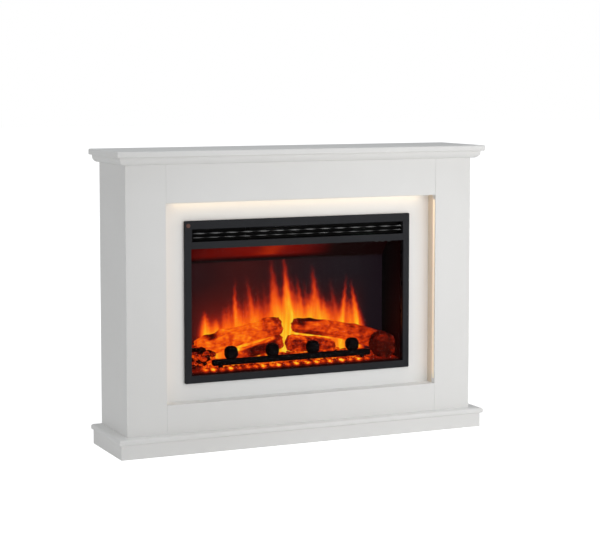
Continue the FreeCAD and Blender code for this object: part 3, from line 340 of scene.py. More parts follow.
def cast_black():
    """Rough sand-cast iron under stove black."""
    s = Shader("cast_black")
    grain = s.noise(420, 5)
    s.set("Base Color", s.ramp(s.noise(40, 4), (0.3, (0.003, 0.002, 0.003)), (0.7, (0.006, 0.004, 0.004))))
    s.set("Roughness", s.between(grain, 0.3, 0.7, 0.5, 0.72))
    s.set("Specular IOR Level", 0.03)
    s.bump(s.maths("ADD", grain, s.noise(110, 3)), 0.0006, 0.7)
    return s


def mica_board():
    """Layered mica sheet with a pearly fleck."""
    s = Shader("mica_board")
    flakes = s.cells(240, "F1", output="Color")
    grey = s.node("RGBToBW", {"Color": flakes}).outputs["Val"]
    s.set("Base Color", s.ramp(grey, (0.2, (0.42, 0.35, 0.24)), (0.8, (0.60, 0.52, 0.38))))
    s.set("Roughness", s.between(grey, 0, 1, 0.25, 0.55))
    s.bump(grey, 0.0001, 0.4)
    return s


def circuit_board():
    """Green solder mask over tracks."""
    s = Shader("circuit_board")
    tracks = s.cells(190, "DISTANCE_TO_EDGE", randomness=0.2)
    s.set("Base Color", s.ramp(tracks, (0.05, (0.05, 0.20, 0.09)), (0.12, (0.018, 0.085, 0.04))))
    s.set("Roughness", 0.28)
    s.bump(s.between(tracks, 0.05, 0.12, 1, 0), 0.0001, 0.6)
    return s


# Dark red to yellow, as the flames and the lit resin run.
FIRE = ((0.0, (0.0, 0.0, 0.0)), (0.14, (0.050, 0.002, 0.001)), (0.30, (0.26, 0.010, 0.002)),
        (0.48, (0.68, 0.046, 0.003)), (0.64, (0.95, 0.125, 0.004)), (0.80, (1.0, 0.27, 0.008)),
        (0.92, (1.0, 0.46, 0.011)), (1.0, (1.0, 0.66, 0.045)))


def resin(name, bark, char, fine, stretch=(1, 1, 1)):
    """Lit cast resin, its glow painted on as emission from the glow on the mesh's vertices: bark where the glow
    is low, ember colours where it is high.
    """
    s = Shader(name)
    heat = s.value("glow")
    grain = s.noise(fine, 5, s.stretched(stretch), roughness=0.6)
    blotch = s.noise(fine * 0.24, 3, distortion=0.4)
    s.set("Base Color", s.mix(s.between(grain, 0.35, 0.65), char, bark))
    s.set("Roughness", s.between(grain, 0.3, 0.7, 0.62, 0.85))
    s.set("Specular IOR Level", 0.03)
    uneven = s.maths("ADD", s.between(grain, 0.3, 0.7, -0.12, 0.11), s.between(blotch, 0.3, 0.7, -0.13, 0.10))
    level = s.maths("ADD", heat, s.maths("MULTIPLY", uneven, s.between(heat, 0.02, 0.4)), clamp=True)
    s.set("Emission Color", s.ramp(level, *FIRE))
    s.set("Emission Strength", 1.0)
    s.bump(s.maths("ADD", grain, blotch), 0.0009, 0.8)
    return s


def flame_light():
    """The smoked screen with the flames thrown on it, from the mesh's painted heat, streaked upwards."""
    s = Shader("flame_light", roughness=0.3)
    heat = s.value("glow")
    streak = s.noise(64, 4, s.stretched((1, 1, 0.14)), distortion=0.6)
    level = s.maths("MULTIPLY", heat, s.between(streak, 0.25, 0.75, 0.82, 1.16), clamp=True)
    s.set("Base Color", (0.003, 0.003, 0.003))
    s.set("Specular IOR Level", 0.03)
    fire = s.ramp(level, *FIRE)
    # A painted glow of red light across the screen, showing where the flames are faint.
    painted_screen_glow = s.ramp(s.value("painted_screen_glow"), (0.0, (0.0088, 0.0048, 0.0076)), (0.35, (0.025, 0.0030, 0.0036)),
                  (1.0, (0.105, 0.0055, 0.0022)))
    s.set("Emission Color", s.mix(1.0, fire, s.mix(level, painted_screen_glow, (0, 0, 0)), "ADD"))
    s.set("Emission Strength", 1.0)
    return s


# How brightly the covers over the strip lights shine.
LED_POWER = 1.05

MATERIALS = {
    "white_paint": white_paint(),
    "raw_board": raw_board(),
    "zinc_steel": zinc_steel(),
    "charcoal_paint": charcoal_paint(),
    "black_paint": black_paint(),
    "black_plastic": plastic("black_plastic", (0.008, 0.008, 0.009), (0.013, 0.013, 0.013)),
    "white_plastic": plastic("white_plastic", (0.74, 0.74, 0.72), (0.80, 0.80, 0.78)),
    "lit_cover": lit_cover(),
    "lamp_board": lamp_board(),
    "window_glass": window_glass(),
    "bright_foil": bright_foil(),
    "cast_black": cast_black(),
    "mica_board": mica_board(),
    "brown_lens": plastic("brown_lens", (0.10, 0.045, 0.035), (0.16, 0.07, 0.05), (0.12, 0.2)),
    "circuit_board": circuit_board(),
    "screen_acrylic": flame_light(),
    "log_resin": resin("log_resin", (0.022, 0.005, 0.0015), (0.005, 0.0012, 0.0006), 150, (0.35, 1, 1)),
    "ember_resin": resin("ember_resin", (0.012, 0.003, 0.001), (0.003, 0.001, 0.0006), 210),
}
LOUVRE = louvre_paint()
NODE_MATERIALS = {
    "outlet_louvre": LOUVRE,
    "reveal_sides": lit_reveal(),
    "fire_back_panel": panel_paint(),
    "firebox_wrap": case_steel("firebox_wrap", "X"),
    "rear_cover": case_steel("rear_cover", "Y"),
    "heating_element": black_paint("element_black"),
    "blower_motor": black_paint("motor_black"),
    "blower_duct": black_paint("duct_black"),
    "heater_shelf": black_paint("shelf_black"),
    "screen_baffle": black_paint("baffle_paint", firelight_on_baffle),
    "side_liners": black_paint("liner_paint", firelight_on_liner),
}


def dress(item, shader):
    """Every material slot of a CAD node gets the shader."""
    if not item.material_slots:
        item.data.materials.append(shader.material)
    for place in item.material_slots:
        place.material = shader.material


for name, item in NODES.items():
    dress(item, NODE_MATERIALS.get(name) or MATERIALS[SLOT_OF[name]])


# ---------------------------------------------------------------- mesh tools

def new_piece(name, points, faces, slot, values=None, smooth=True, shader=None):
    """A mesh object that rides on the surround, with numbers painted on its vertices."""
    mesh = bpy.data.meshes.new(name)
    mesh.from_pydata([tuple(p) for p in points], [], faces)
    mesh.validate()
    mesh.update()
    for key, numbers in (values or {}).items():
        layer = mesh.attributes.new(key, "FLOAT", "POINT")
        layer.data.foreach_set("value", np.asarray(numbers, np.float32))
    mesh.polygons.foreach_set("use_smooth", [smooth] * len(mesh.polygons))
    mesh.materials.append((shader or MATERIALS[slot]).material)
    item = bpy.data.objects.new(name, mesh)
    bpy.context.scene.collection.objects.link(item)
    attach(item, "surround")
    return item


def loft(rings, points, faces):
    """Adds a closed skin through rings of points, with a fan over each end."""
    base, around = len(points), len(rings[0])
    for ring in rings:
        points += ring
    for i in range(len(rings) - 1):
        for j in range(around):
            k = (j + 1) % around
            low, high = base + i * around, base + (i + 1) * around
            faces.append((low + j, low + k, high + k, high + j))
    for ring, start, flip in ((rings[0], base, True), (rings[-1], base + (len(rings) - 1) * around, False)):
        hub = len(points)
        points.append(sum((Vector(p) for p in ring), Vector()) / around)
        for j in range(around):
            a, b = start + j, start + (j + 1) % around
            faces.append((hub, b, a) if flip else (hub, a, b))


def smoothed(t):
    t = np.clip(t, 0, 1)
    return t * t * (3 - 2 * t)


# ---------------------------------------------------------------- flames

class Tongue:
    """One tongue of flame on the screen: its foot, where it leans to, its tip, width and heat."""

    def __init__(self, foot, lean, tip, height, width, heat):
        self.foot, self.lean, self.tip = foot * MM, lean * MM, tip * MM
        self.height, self.width, self.heat = height * MM, width * MM, heat


FLAME_FOOT = 0.300
TONGUES = [
    Tongue(-240, -243, -246, 378, 16, 1.0),
    Tongue(-207, -209, -211, 352, 14, 0.80),
    Tongue(-180, -183, -186, 392, 12, 0.50),
    Tongue(-138, -156, -147, 470, 12, 0.85),
    Tongue(-163, -168, -172, 410, 14, 0.45),
    Tongue(-126, -132, -138, 420, 13, 0.42),
    Tongue(-82, -98, -116, 476, 18, 0.70),
    Tongue(-112, -116, -120, 424, 15, 0.52),
    Tongue(-66, -72, -80, 440, 16, 0.50),
    Tongue(-46, -52, -60, 455, 16, 0.48),
    Tongue(-4, -22, -38, 530, 22, 0.83),
    Tongue(-24, -30, -34, 455, 17, 0.66),
    Tongue(44, 14, 5, 544, 19, 0.96),
    Tongue(22, 10, 12, 470, 22, 0.82),
    Tongue(62, 44, 30, 470, 16, 0.55),
    Tongue(76, 62, 46, 470, 15, 0.74),
    Tongue(92, 82, 72, 452, 13, 0.55),
    Tongue(96, 92, 88, 420, 13, 0.60),
    Tongue(128, 110, 98, 496, 22, 0.90),
    Tongue(106, 102, 97, 420, 15, 0.70),
    Tongue(150, 142, 132, 410, 15, 0.60),
    Tongue(168, 160, 150, 395, 14, 0.44),
    Tongue(188, 172, 157, 452, 14, 0.42),
    Tongue(199, 206, 214, 462, 11, 0.74),
    Tongue(250, 242, 226, 446, 13, 0.90),
    Tongue(226, 224, 220, 395, 13, 0.66),
    Tongue(264, 262, 258, 360, 11, 0.40),
]


def flame_heat(x, z):
    """How hot the picture of the flames is at points of the screen, from 0 to 1."""
    cold = np.ones_like(x)
    for t in TONGUES:
        rise = (z - FLAME_FOOT) / (t.height - FLAME_FOOT)
        u = np.clip(rise, 0, 1)
        middle = (1 - u) ** 2 * t.foot + 2 * u * (1 - u) * t.lean + u ** 2 * t.tip
        middle = middle + 0.0018 * np.sin(38 * u + 90 * t.foot) * u
        width = t.width * (1 - 0.88 * u ** 1.15) + 0.0014
        across = np.exp(-np.abs((x - middle) / width) ** 1.9)
        fade = (1 - u ** 2.3) * (rise < 1)
        cold *= 1 - t.heat * across * (0.62 + 0.38 * (1 - u)) * fade
    foot = smoothed((0.415 - z) / 0.13) * smoothed((x + 0.31) / 0.10) * smoothed((0.280 - x) / 0.08)
    return 1 - cold * (1 - 0.46 * foot)


def flame_screen():
    """The smoked screen as a slab, its front face fine enough to carry the picture of the flames."""
    low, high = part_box("flame_screen")
    step = 0.0022
    across = int((high.x - low.x) / step)
    up = int((high.z - low.z) / step)
    xs, zs = np.linspace(low.x, high.x, across + 1), np.linspace(low.z, high.z, up + 1)
    x, z = [grid.ravel() for grid in np.meshgrid(xs, zs)]
    points = np.stack([x, np.full_like(x, low.y), z], 1)
    wide = across + 1
    faces = [(r * wide + c, r * wide + c + 1, (r + 1) * wide + c + 1, (r + 1) * wide + c)
             for r in range(up) for c in range(across)]
    rim = [c for c in range(wide)] + [r * wide + across for r in range(1, up + 1)]
    rim += [up * wide + c for c in range(across - 1, -1, -1)] + [r * wide for r in range(up - 1, 0, -1)]
    back = len(points)
    points = np.concatenate([points, [(*points[i][[0]], high.y, points[i][2]) for i in rim]])
    for i in range(len(rim)):
        j = (i + 1) % len(rim)
        faces.append((rim[j], rim[i], back + i, back + j))
    faces.append(tuple(back + i for i in range(len(rim))))
    heat = flame_heat(x, z)
    # Painted glow of red light on the screen: centred left of the middle, stronger to the left and low down.
    painted_screen_glow = 0.34 * np.exp(-((x + 0.10) / 0.17) ** 2) + 0.15 * smoothed((0.10 - x) / 0.3)
    painted_screen_glow += 0.30 * smoothed((0.47 - z) / 0.10) * smoothed((x + 0.36) / 0.12) * smoothed((0.30 - x) / 0.08)
    cold_back = np.zeros(len(rim))
    values = {"glow": np.concatenate([heat, cold_back]), "painted_screen_glow": np.concatenate([painted_screen_glow, cold_back])}
    piece = new_piece("flame_screen_lit", points, faces, "screen_acrylic", values, smooth=False)
    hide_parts("flame_screen")


# ---------------------------------------------------------------- logs and embers

class Log:
    """A cast resin log between two points, with its own bark, knots and heat."""

    def __init__(self, node, start, end, radii, seed, heat, knots=(), bow=0.0, furrow=1.0, flat=1.0):
        self.node = node
        self.start, self.end = Vector(start) * MM, Vector(end) * MM
        self.radii = [r * MM for r in radii]
        self.seed, self.heat, self.knots = seed, heat, knots
        self.bow, self.furrow, self.flat = bow * MM, furrow * MM, flat


def patch(value, middle, reach):
    """One at the middle of a stretch, falling to nothing at its reach."""
    return math.exp(-((value - middle) / reach) ** 2)


def log_heat(kind, s, up, front, lump, cloud):
    """Glow level along a log (s from start to end); where it changes with how far its skin faces up and to the
    front, it is painted highlight and shade.
    """
    if kind == "back_left":
        body = 0.62 + 0.05 * up + 0.10 * lump + 0.10 * cloud
        end = smoothed((s - 0.70) / 0.14)
        crescent = smoothed((s - 0.90) / 0.06) * smoothed((up + 0.25) / 0.4)
        char = patch(s, 0.17, 0.085) * smoothed((up - 0.50) / 0.25)
        return body * (1 - 0.26 * end) * (1 - 0.35 * crescent) * (1 - 0.80 * char) + 0.16 * end * cloud
    if kind == "back_right":
        body = 0.535 - 0.04 * front + 0.08 * lump + 0.09 * cloud
        end_char = patch(s, 0.04, 0.06) * smoothed((up + 0.1) / 0.5)
        char = end_char + patch(s, 0.17, 0.09) * smoothed((up - 0.62) / 0.2)
        # Painted shade on the underside, near the start.
        under = patch(s, 0.20, 0.22) * smoothed((-0.35 - up) / 0.25)
        fade = 1 - 0.16 * smoothed((s - 0.55) / 0.2) - 0.22 * smoothed((s - 0.74) / 0.16)
        return body * (1 - 0.80 * min(char, 1)) * (1 - 0.50 * under) * fade
    if kind == "front_left":
        # Painted highlight along the top, short of the far end.
        lit = smoothed((up - 0.60) / 0.25) * smoothed((0.93 - s) / 0.12)
        glow = smoothed((0.20 - s) / 0.15) * 0.26
        end = smoothed((s - 0.82) / 0.10) * 0.14
        return 0.20 + 0.42 * lit + glow + end + 0.12 * lump + 0.16 * cloud
    if kind == "front_right":
        # Painted highlight on the top.
        lit = smoothed((up - 0.62) / 0.3)
        return 0.33 + 0.14 * lit + 0.20 * lump + 0.28 * cloud + 0.10 * patch(s, 0.95, 0.15)
    # The stump: a little brighter where it faces up, a painted highlight.
    return 0.085 + 0.07 * lump + 0.12 * cloud + 0.05 * smoothed((up - 0.45) / 0.4)


LOGS = [
    Log("log_back_left", (-276, 44, 268), (-22, 44, 320), (27, 25), 3, "back_left",
        knots=((0.30, 1.9, 5), (0.62, 1.2, 6), (0.86, 2.2, 6), (0.12, 2.0, 5)), bow=3, furrow=1.3, flat=1.05),
    Log("log_front_left", (-166, 22, 247), (-27, 23, 275), (15, 21), 11, "front_left",
        knots=((0.9, 1.4, 3), (0.45, 0.6, 3)), bow=-2, furrow=1.0),
    Log("log_back_right", (30, 46, 318), (300, 43, 260), (21, 28), 19, "back_right",
        knots=((0.33, 1.1, 3), (0.70, 2.0, 4), (0.17, 1.7, 4)), bow=7, furrow=0.9),
    Log("log_front_right", (2, 23, 270), (140, 22, 251), (24, 21), 27, "front_right",
        knots=((0.25, 2.3, 4), (0.6, 1.0, 5), (0.85, 2.6, 4), (0.4, 0.3, 3)), bow=2, furrow=1.6),
    Log("log_stump_right", (291, -38, 247), (292, 14, 252), (31, 34), 41, "stump",
        knots=((0.1, 2.4, 6), (0.1, 0.9, 4), (0.2, -0.3, 5)), bow=0, furrow=3.0, flat=1.16),
]


def build_log(log):
    """Rings along the log, displaced by furrows, plates and knots, and closed by broken ends."""
    axis = (log.end - log.start).normalized()
    length = (log.end - log.start).length
    side = axis.cross(Vector((0, 0, 1))).normalized()
    rise = side.cross(axis).normalized()
    rings, around, cap_rings = max(40, int(length / 0.0022)), 104, 9
    offset = Vector((log.seed * 7.3, log.seed * 1.7, log.seed * 3.1))

    def skin(s, angle, share=1.0, sink=0.0):
        """A point of the skin; share shrinks it towards the axis for the ends."""
        radius = log.radii[0] * (1 - s) + log.radii[1] * s
        spot = Vector((math.cos(angle), math.sin(angle), 0))
        along = s * length
        broad = noise.noise(offset + Vector((spot.x * 0.9, spot.y * 0.9, along * 14)))
        furrow = noise.ridged_multi_fractal(
            offset + Vector((spot.x * radius * 85, spot.y * radius * 85, along * 22)), 0.9, 2.1, 4, 1.0, 2.0)
        plate = noise.voronoi(offset + Vector((spot.x * radius * 120, spot.y * radius * 120, along * 52)))[0]
        crack = min(1.0, (plate[1] - plate[0]) * 4.0)
        out = radius * (1 + 0.10 * broad) + log.furrow * (0.7 * (furrow - 1.1) + 0.9 * crack - 0.4)
        for at, turn, size in log.knots:
            swing = (angle - turn + math.pi) % (2 * math.pi) - math.pi
            gap = ((s - at) * length / 0.014) ** 2 + swing ** 2 / 0.30
            out += size * MM * math.exp(-gap)
        out *= share
        sway = log.bow * math.sin(math.pi * s)
        centre = log.start + axis * (along + sink) + rise * sway
        point = centre + side * (spot.x * out) + rise * (spot.y * out * log.flat)
        normal = side * spot.x + rise * spot.y
        lump = 0.5 * (crack - 0.5) + 0.35 * (furrow - 1.1)
        cloud = noise.fractal(offset + point * 55, 0.9, 2.1, 4)
        return point, log_heat(log.heat, s, normal.z, -normal.y, lump, cloud)

    def end_rings(s, outward):
        """Rough concentric rings across one end, from the rim to the middle."""
        made = []
        for k in range(1, cap_rings):
            share = 1 - k / cap_rings
            ring = []
            for j in range(around):
                angle = 2 * math.pi * j / around
                spot = Vector((math.cos(angle), math.sin(angle), 0)) * share
                rough = noise.fractal(offset + spot * 3.2, 0.8, 2.1, 4) * 0.0042
                crown = 0.006 * (1 - share ** 2) + 0.0035 * noise.noise(offset + spot * 1.3)
                sink = outward * (crown + rough)
                point, heat = skin(s, angle, share ** 0.85, sink)
                ring.append((point, heat * (0.55 + 0.45 * share) + 0.05))
            made.append(ring)
        return made

    tube = []
    for i in range(rings + 1):
        s = i / rings
        rim = min(s, 1 - s) * length
        round_over = 1 - 0.22 * math.exp(-rim / 0.0022)
        tube.append([skin(s, 2 * math.pi * j / around, round_over) for j in range(around)])
    stack = end_rings(0.0, -1)[::-1] + tube + end_rings(1.0, 1)
    points, faces = [], []
    loft([[p for p, h in ring] for ring in stack], points, faces)
    heats = [h for ring in stack for p, h in ring]
    heats += [sum(h for p, h in ring) / around for ring in (stack[0], stack[-1])]
    piece = new_piece(log.node + "_bark", points, faces, "log_resin", {"glow": np.clip(heats, 0, 1)})
    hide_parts(log.node)


def icosphere(splits):
    """The points and triangles of a unit icosahedron whose faces are split in four, some times over."""
    phi = (1 + 5 ** 0.5) / 2
    corners = [(-1, phi, 0), (1, phi, 0), (-1, -phi, 0), (1, -phi, 0), (0, -1, phi), (0, 1, phi),
               (0, -1, -phi), (0, 1, -phi), (phi, 0, -1), (phi, 0, 1), (-phi, 0, -1), (-phi, 0, 1)]
    shell = [(0, 11, 5), (0, 5, 1), (0, 1, 7), (0, 7, 10), (0, 10, 11), (1, 5, 9), (5, 11, 4), (11, 10, 2),
             (10, 7, 6), (7, 1, 8), (3, 9, 4), (3, 4, 2), (3, 2, 6), (3, 6, 8), (3, 8, 9), (4, 9, 5),
             (2, 4, 11), (6, 2, 10), (8, 6, 7), (9, 8, 1)]
    verts = [Vector(c).normalized() for c in corners]
    for _ in range(splits):
        middle, finer = {}, []
        for a, b, c in shell:
            mids = []
            for i, j in ((a, b), (b, c), (c, a)):
                key = (min(i, j), max(i, j))
                if key not in middle:
                    middle[key] = len(verts)
                    verts.append((verts[i] + verts[j]).normalized())
                mids.append(middle[key])
            ab, bc, ca = mids
            finer += [(a, ab, ca), (b, bc, ab), (c, ca, bc), (ab, bc, ca)]
        shell = finer
    return verts, shell


UNIT_COAL = icosphere(2)


def coal(rng, centre, radius, heat, points, faces, heats):
    """Adds one broken coal: a faceted lump with its own glow level, and painted light from below making it
    brighter underneath.
    """
    verts, shell = UNIT_COAL
    turn = Matrix.Rotation(rng.uniform(0, 6.28), 3, Vector((rng.random(), rng.random(), rng.random() + 0.1)))
    scale = Vector((rng.uniform(0.8, 1.35), rng.uniform(0.75, 1.1), rng.uniform(0.6, 0.9)))
    drift = Vector((rng.uniform(0, 50), rng.uniform(0, 50), rng.uniform(0, 50)))
    cuts = []
    for _ in range(8):
        facing = Vector((rng.gauss(0, 1), rng.gauss(0, 1), rng.gauss(0, 1))).normalized()
        cuts.append((facing, rng.uniform(0.42, 0.78)))
    base = len(points)
    for v in verts:
        p = v * (1 + 0.16 * noise.noise(v * 1.8 + drift))
        for flat, depth in cuts:
            over = p.dot(flat) - depth
            if over > 0:
                p = p - flat * over * 0.85
        p = turn @ p
        p = Vector((p.x * scale.x, p.y * scale.y, p.z * scale.z)) * radius
        points.append(centre + p)
        # Painted light from below: brighter towards the underside.
        under = -p.z / radius
        heats.append(heat * (1 + 0.45 * under) + 0.24 * noise.noise(v * 2.1 + drift))
    faces += [(base + a, base + b, base + c) for a, b, c in shell]


def bed_top(y):
    """The height of the ember bed at a depth: a low front ledge, then a slope to the higher back."""
    slope = 0.012
    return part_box("ember_bed")[1].z - slope + slope * smoothed((y + 0.006) / 0.008)


def ember_bed():
    """The moulded bed: a closed tray whose top is a field of lumps, with a painted glow brightest in the gaps
    between them.
    """
    low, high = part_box("ember_bed")
    step = 0.0024
    nx, ny = int((high.x - low.x) / step), int((high.y - low.y) / step)
    xs, ys = np.linspace(low.x, high.x, nx + 1), np.linspace(low.y, high.y, ny + 1)
    points, heats = [], []
    for y in ys:
        for x in xs:
            near, point = noise.voronoi(Vector((x * 62, y * 62, 5.0)))
            gap = near[1] - near[0]
            lump = min(1.0, gap * 2.0) ** 0.6
            edge = min(1.0, (y - low.y) / 0.006, (x - low.x) / 0.006, (high.x - x) / 0.006)
            key = noise.cell(point[0] * 7.7 + Vector((3, 1, 4)))
            height = bed_top(y) + edge * (0.0065 * lump - 0.001 + 0.002 * key)
            points.append(Vector((x, y, height)))
            heat = 0.66 - 0.40 * lump + 0.20 * max(0, key) - 0.3 * smoothed((abs(x) - 0.27) / 0.05)
            front = 1 - smoothed((y + 0.012) / 0.010)
            heats.append(heat * (1 - front) + row_heat(points[-1]) * front)
    wide = nx + 1
    faces = [(r * wide + c, r * wide + c + 1, (r + 1) * wide + c + 1, (r + 1) * wide + c)
             for r in range(ny) for c in range(nx)]
    rim = [c for c in range(wide)] + [r * wide + nx for r in range(1, ny + 1)]
    rim += [ny * wide + c for c in range(nx - 1, -1, -1)] + [r * wide for r in range(ny - 1, 0, -1)]
    base = len(points)
    points += [(points[i][0], points[i][1], low.z) for i in rim]
    heats += [0.02] * len(rim)
    for i in range(len(rim)):
        j = (i + 1) % len(rim)
        faces.append((rim[j], rim[i], base + i, base + j))
    faces.append(tuple(base + i for i in range(len(rim)))[::-1])
    piece = new_piece("ember_bed_moulded", points, faces, "ember_resin", {"glow": np.clip(heats, 0, 1)})
    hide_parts("ember_bed")


# Along the front, where the lamps under the bed show: place in millimetres and heat.
HOT_SPOTS = ((-285, 0.60), (-260, 0.86), (-234, 0.42), (-207, 0.90), (-180, 0.40), (-152, 0.52), (-128, 0.42),
             (-105, 1.0), (-78, 0.50), (-58, 0.94), (-30, 0.44), (0, 0.98), (35, 0.88), (65, 0.80), (86, 0.4),
             (107, 0.92), (147, 0.97), (175, 0.50), (200, 1.0), (228, 0.40))


def spot_heat(x):
    """Heat of the front embers at a place along the fire."""
    return max(heat * math.exp(-((x / MM - at) / 8) ** 2) for at, heat in HOT_SPOTS)


def row_heat(p):
    """Heat of the front row at a point: dark red, with a soft bright spot over each lamp."""
    level, reach = 0.2180, 0.0042
    band = math.exp(-((p.z - level) / reach) ** 2)
    return 0.13 + (0.12 + 0.94 * spot_heat(p.x)) * band


def loose_coals():
    """Broken coals: a front row over the lamps, a hot layer behind the bar, and a heap at the left."""
    rng = random.Random(7)
    points, faces, heats = [], [], []
    low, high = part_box("ember_bed")

    def drop(x, y, radius, heat, lift=0.45):
        coal(rng, Vector((x, y, bed_top(y) + radius * lift)), radius, heat, points, faces, heats)

    x = low.x + 0.012
    while x < high.x - 0.010:
        for y, size in ((-0.0335, 0.0060), (-0.022, 0.0080)):
            across, deep = x + rng.uniform(-2, 2) * MM, y + rng.uniform(-1.5, 1.5) * MM
            drop(across, deep, size * rng.uniform(0.8, 1.15), 0)
        x += rng.uniform(0.008, 0.012)
    heats[:] = [row_heat(p) for p in points]
    for _ in range(150):
        x, y = rng.uniform(-0.250, 0.150), rng.uniform(-0.006, 0.022)
        heat = rng.choice((0.46, 0.54, 0.62, 0.70))
        drop(x, y, rng.uniform(0.006, 0.0105), heat, rng.uniform(0.3, 0.8))
    for _ in range(60):
        x, y = rng.uniform(0.130, 0.255), rng.uniform(-0.006, 0.040)
        drop(x, y, rng.uniform(0.007, 0.012), rng.choice((0.16, 0.26, 0.40, 0.52)), rng.uniform(0.3, 0.9))
    for _ in range(110):
        x, y = rng.uniform(low.x + 0.014, high.x - 0.09), rng.uniform(0.020, 0.060)
        drop(x, y, rng.uniform(0.007, 0.012), rng.choice((0.45, 0.62, 0.70)), rng.uniform(0.3, 0.9))
    for row in range(4):
        for _ in range(16):
            x = rng.uniform(-0.318 + 0.004 * row, -0.238 - 0.006 * row)
            y, radius = rng.uniform(-0.006, 0.034), rng.uniform(0.009, 0.0135)
            heat = rng.choice((0.05, 0.10, 0.18, 0.30, 0.44, 0.54)) - 0.02 * row
            drop(x, y, radius, heat, 0.5 + 1.05 * row)
    new_piece("loose_coals", points, faces, "ember_resin", {"glow": np.clip(heats, 0, 1)}, smooth=False)


# ---------------------------------------------------------------- grate, louvre, screws

def block(low, high, points, faces):
    """Adds a box, for a wire or a bracket."""
    base = len(points)
    xs, ys, zs = zip(low, high)
    points += [Vector((x, y, z)) for z in zs for y in ys for x in xs]
    for quad in ((0, 2, 3, 1), (4, 5, 7, 6), (0, 1, 5, 4), (2, 6, 7, 3), (0, 4, 6, 2), (1, 3, 7, 5)):
        faces.append(tuple(base + i for i in quad))


def rounded_section(half_wide, half_high, power, count):
    """A soft-cornered rectangle of points about the origin."""
    ring = []
    for j in range(count):
        angle = 2 * math.pi * j / count
        c, t = math.cos(angle), math.sin(angle)
        size = (abs(c) ** power + abs(t) ** power) ** (-1 / power)
        ring.append((half_wide * c * size, half_high * t * size))
    return ring


def cast_grate():
    """The sand-cast bar on its feet, with four rough, blunt knobs along it."""
    points, faces = [], []
    low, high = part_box("fire_grate")
    middle = (low.x + high.x) / 2
    y, knob = (low.y + high.y) / 2, (high.y - low.y) / 2
    bar_low, bar_high, half_deep = 0.226, 0.244, 0.007  # the bar of the CAD grate
    foot_in, foot_low, foot_high = 0.026, 0.2145, 0.014
    knob_pitch = 0.129

    def rough(p, size, scale):
        return p + noise.noise_vector(p * scale) * size

    rings = []
    for i in range(169):
        x = low.x + (high.x - low.x) * i / 168
        blunt = 1 - 0.35 * math.exp(-min(x - low.x, high.x - x) / 0.0022)
        ring = rounded_section(half_deep * blunt, (bar_high - bar_low) / 2 * blunt, 5, 24)
        level = (bar_low + bar_high) / 2
        rings.append([rough(Vector((x, y - a, level + b)), 0.0011, 90) for a, b in ring])
    loft(rings, points, faces)
    for x in (low.x + foot_in, high.x - foot_in):
        rings = []
        for i in range(9):
            z = foot_low + foot_high * i / 8
            ring = rounded_section(0.0058 + 0.0012 * (1 - i / 8), 0.0058, 4, 16)
            rings.append([rough(Vector((x + a, y + b, z)), 0.0006, 120) for a, b in ring])
        loft(rings, points, faces)
    for place in (-1.5, -0.5, 0.5, 1.5):
        centre = Vector((middle + knob_pitch * place, y, high.z - knob))
        rings = []
        for i in range(1, 44):
            tilt = math.pi * i / 44
            level = -math.cos(tilt)
            rise = math.copysign(abs(level) ** 0.80, level)
            ring = rounded_section(math.sin(tilt) ** 0.72, math.sin(tilt) ** 0.72, 2.5, 56)
            rings.append([])
            for a, b in ring:
                spot = Vector((a, b, rise))
                lump = noise.fractal(spot * 2.1 + centre * 40, 0.9, 2.1, 4)
                rings[-1].append(centre + spot * knob * (0.95 + 0.055 * lump))
        loft(rings, points, faces)
    piece = new_piece("cast_grate", points, faces, "cast_black")
    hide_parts("fire_grate")


def louvre():
    """Two enamelled slats whose noses wave in and out, with their brackets and a fine guard mesh behind."""
    points, faces = [], []
    low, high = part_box("outlet_louvre")
    bracket, wave, pitch, deep, count = 0.004, 0.0034, 0.0490, 0.0150, 540
    for level, shift, thin in ((-0.006, 0.12, 0.75), (0.006, 0, 1)):
        rings = []
        for i in range(count + 1):
            x = low.x + bracket + (high.x - low.x - 2 * bracket) * i / count
            arc = math.sin(math.pi * (((x - low.x) / pitch + shift) % 1))
            nose, half = low.y + wave * (1 - arc), (0.0005 + 0.0021 * arc ** 1.6) * thin
            z = (low.z + high.z) / 2 + level
            ring = [Vector((x, low.y + deep, z - 0.0012)), Vector((x, low.y + deep, z + 0.0012))]
            for j in range(11):
                share = 1 - j / 5
                bulge = 0.0002 * share + 0.0012 * abs(share) ** 3
                ring.append(Vector((x, nose + bulge + 0.0002 + 0.0005 * (share + 1), z + half * share)))
            rings.append(ring)
        loft(rings, points, faces)
    piece = new_piece("outlet_slats", points, faces, "charcoal_paint", shader=LOUVRE)
    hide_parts("outlet_louvre")

    points, faces = [], []
    for end in (low.x, high.x - bracket):
        block((end, low.y + 0.0025, low.z), (end + bracket, high.y, high.z), points, faces)
    left, right, y = low.x + bracket, high.x - bracket, low.y + deep + 0.0006
    gap, wire = 0.0027, 0.00072
    for i in range(1, int((right - left) / gap)):
        x = left + i * gap
        block((x - wire, y, low.z), (x + wire, y + wire, high.z), points, faces)
    for i in range(1, int((high.z - low.z) / gap)):
        z = low.z + i * gap
        block((left, y + wire, z - wire), (right, y + 2 * wire, z + wire), points, faces)
    new_piece("outlet_guard_mesh", points, faces, "black_paint", smooth=False)


def islands(mesh):
    """The separate lumps of a mesh, each as its list of points."""
    owner = list(range(len(mesh.vertices)))

    def root(i):
        while owner[i] != i:
            owner[i] = owner[owner[i]]
            i = owner[i]
        return i

    places = {}
    for v in mesh.vertices:
        key = tuple(round(c, 6) for c in v.co)
        owner[root(v.index)] = root(places.setdefault(key, v.index))
    for edge in mesh.edges:
        owner[root(edge.vertices[0])] = root(edge.vertices[1])
    groups = {}
    for v in mesh.vertices:
        groups.setdefault(root(v.index), []).append(v.co.copy())
    return list(groups.values())


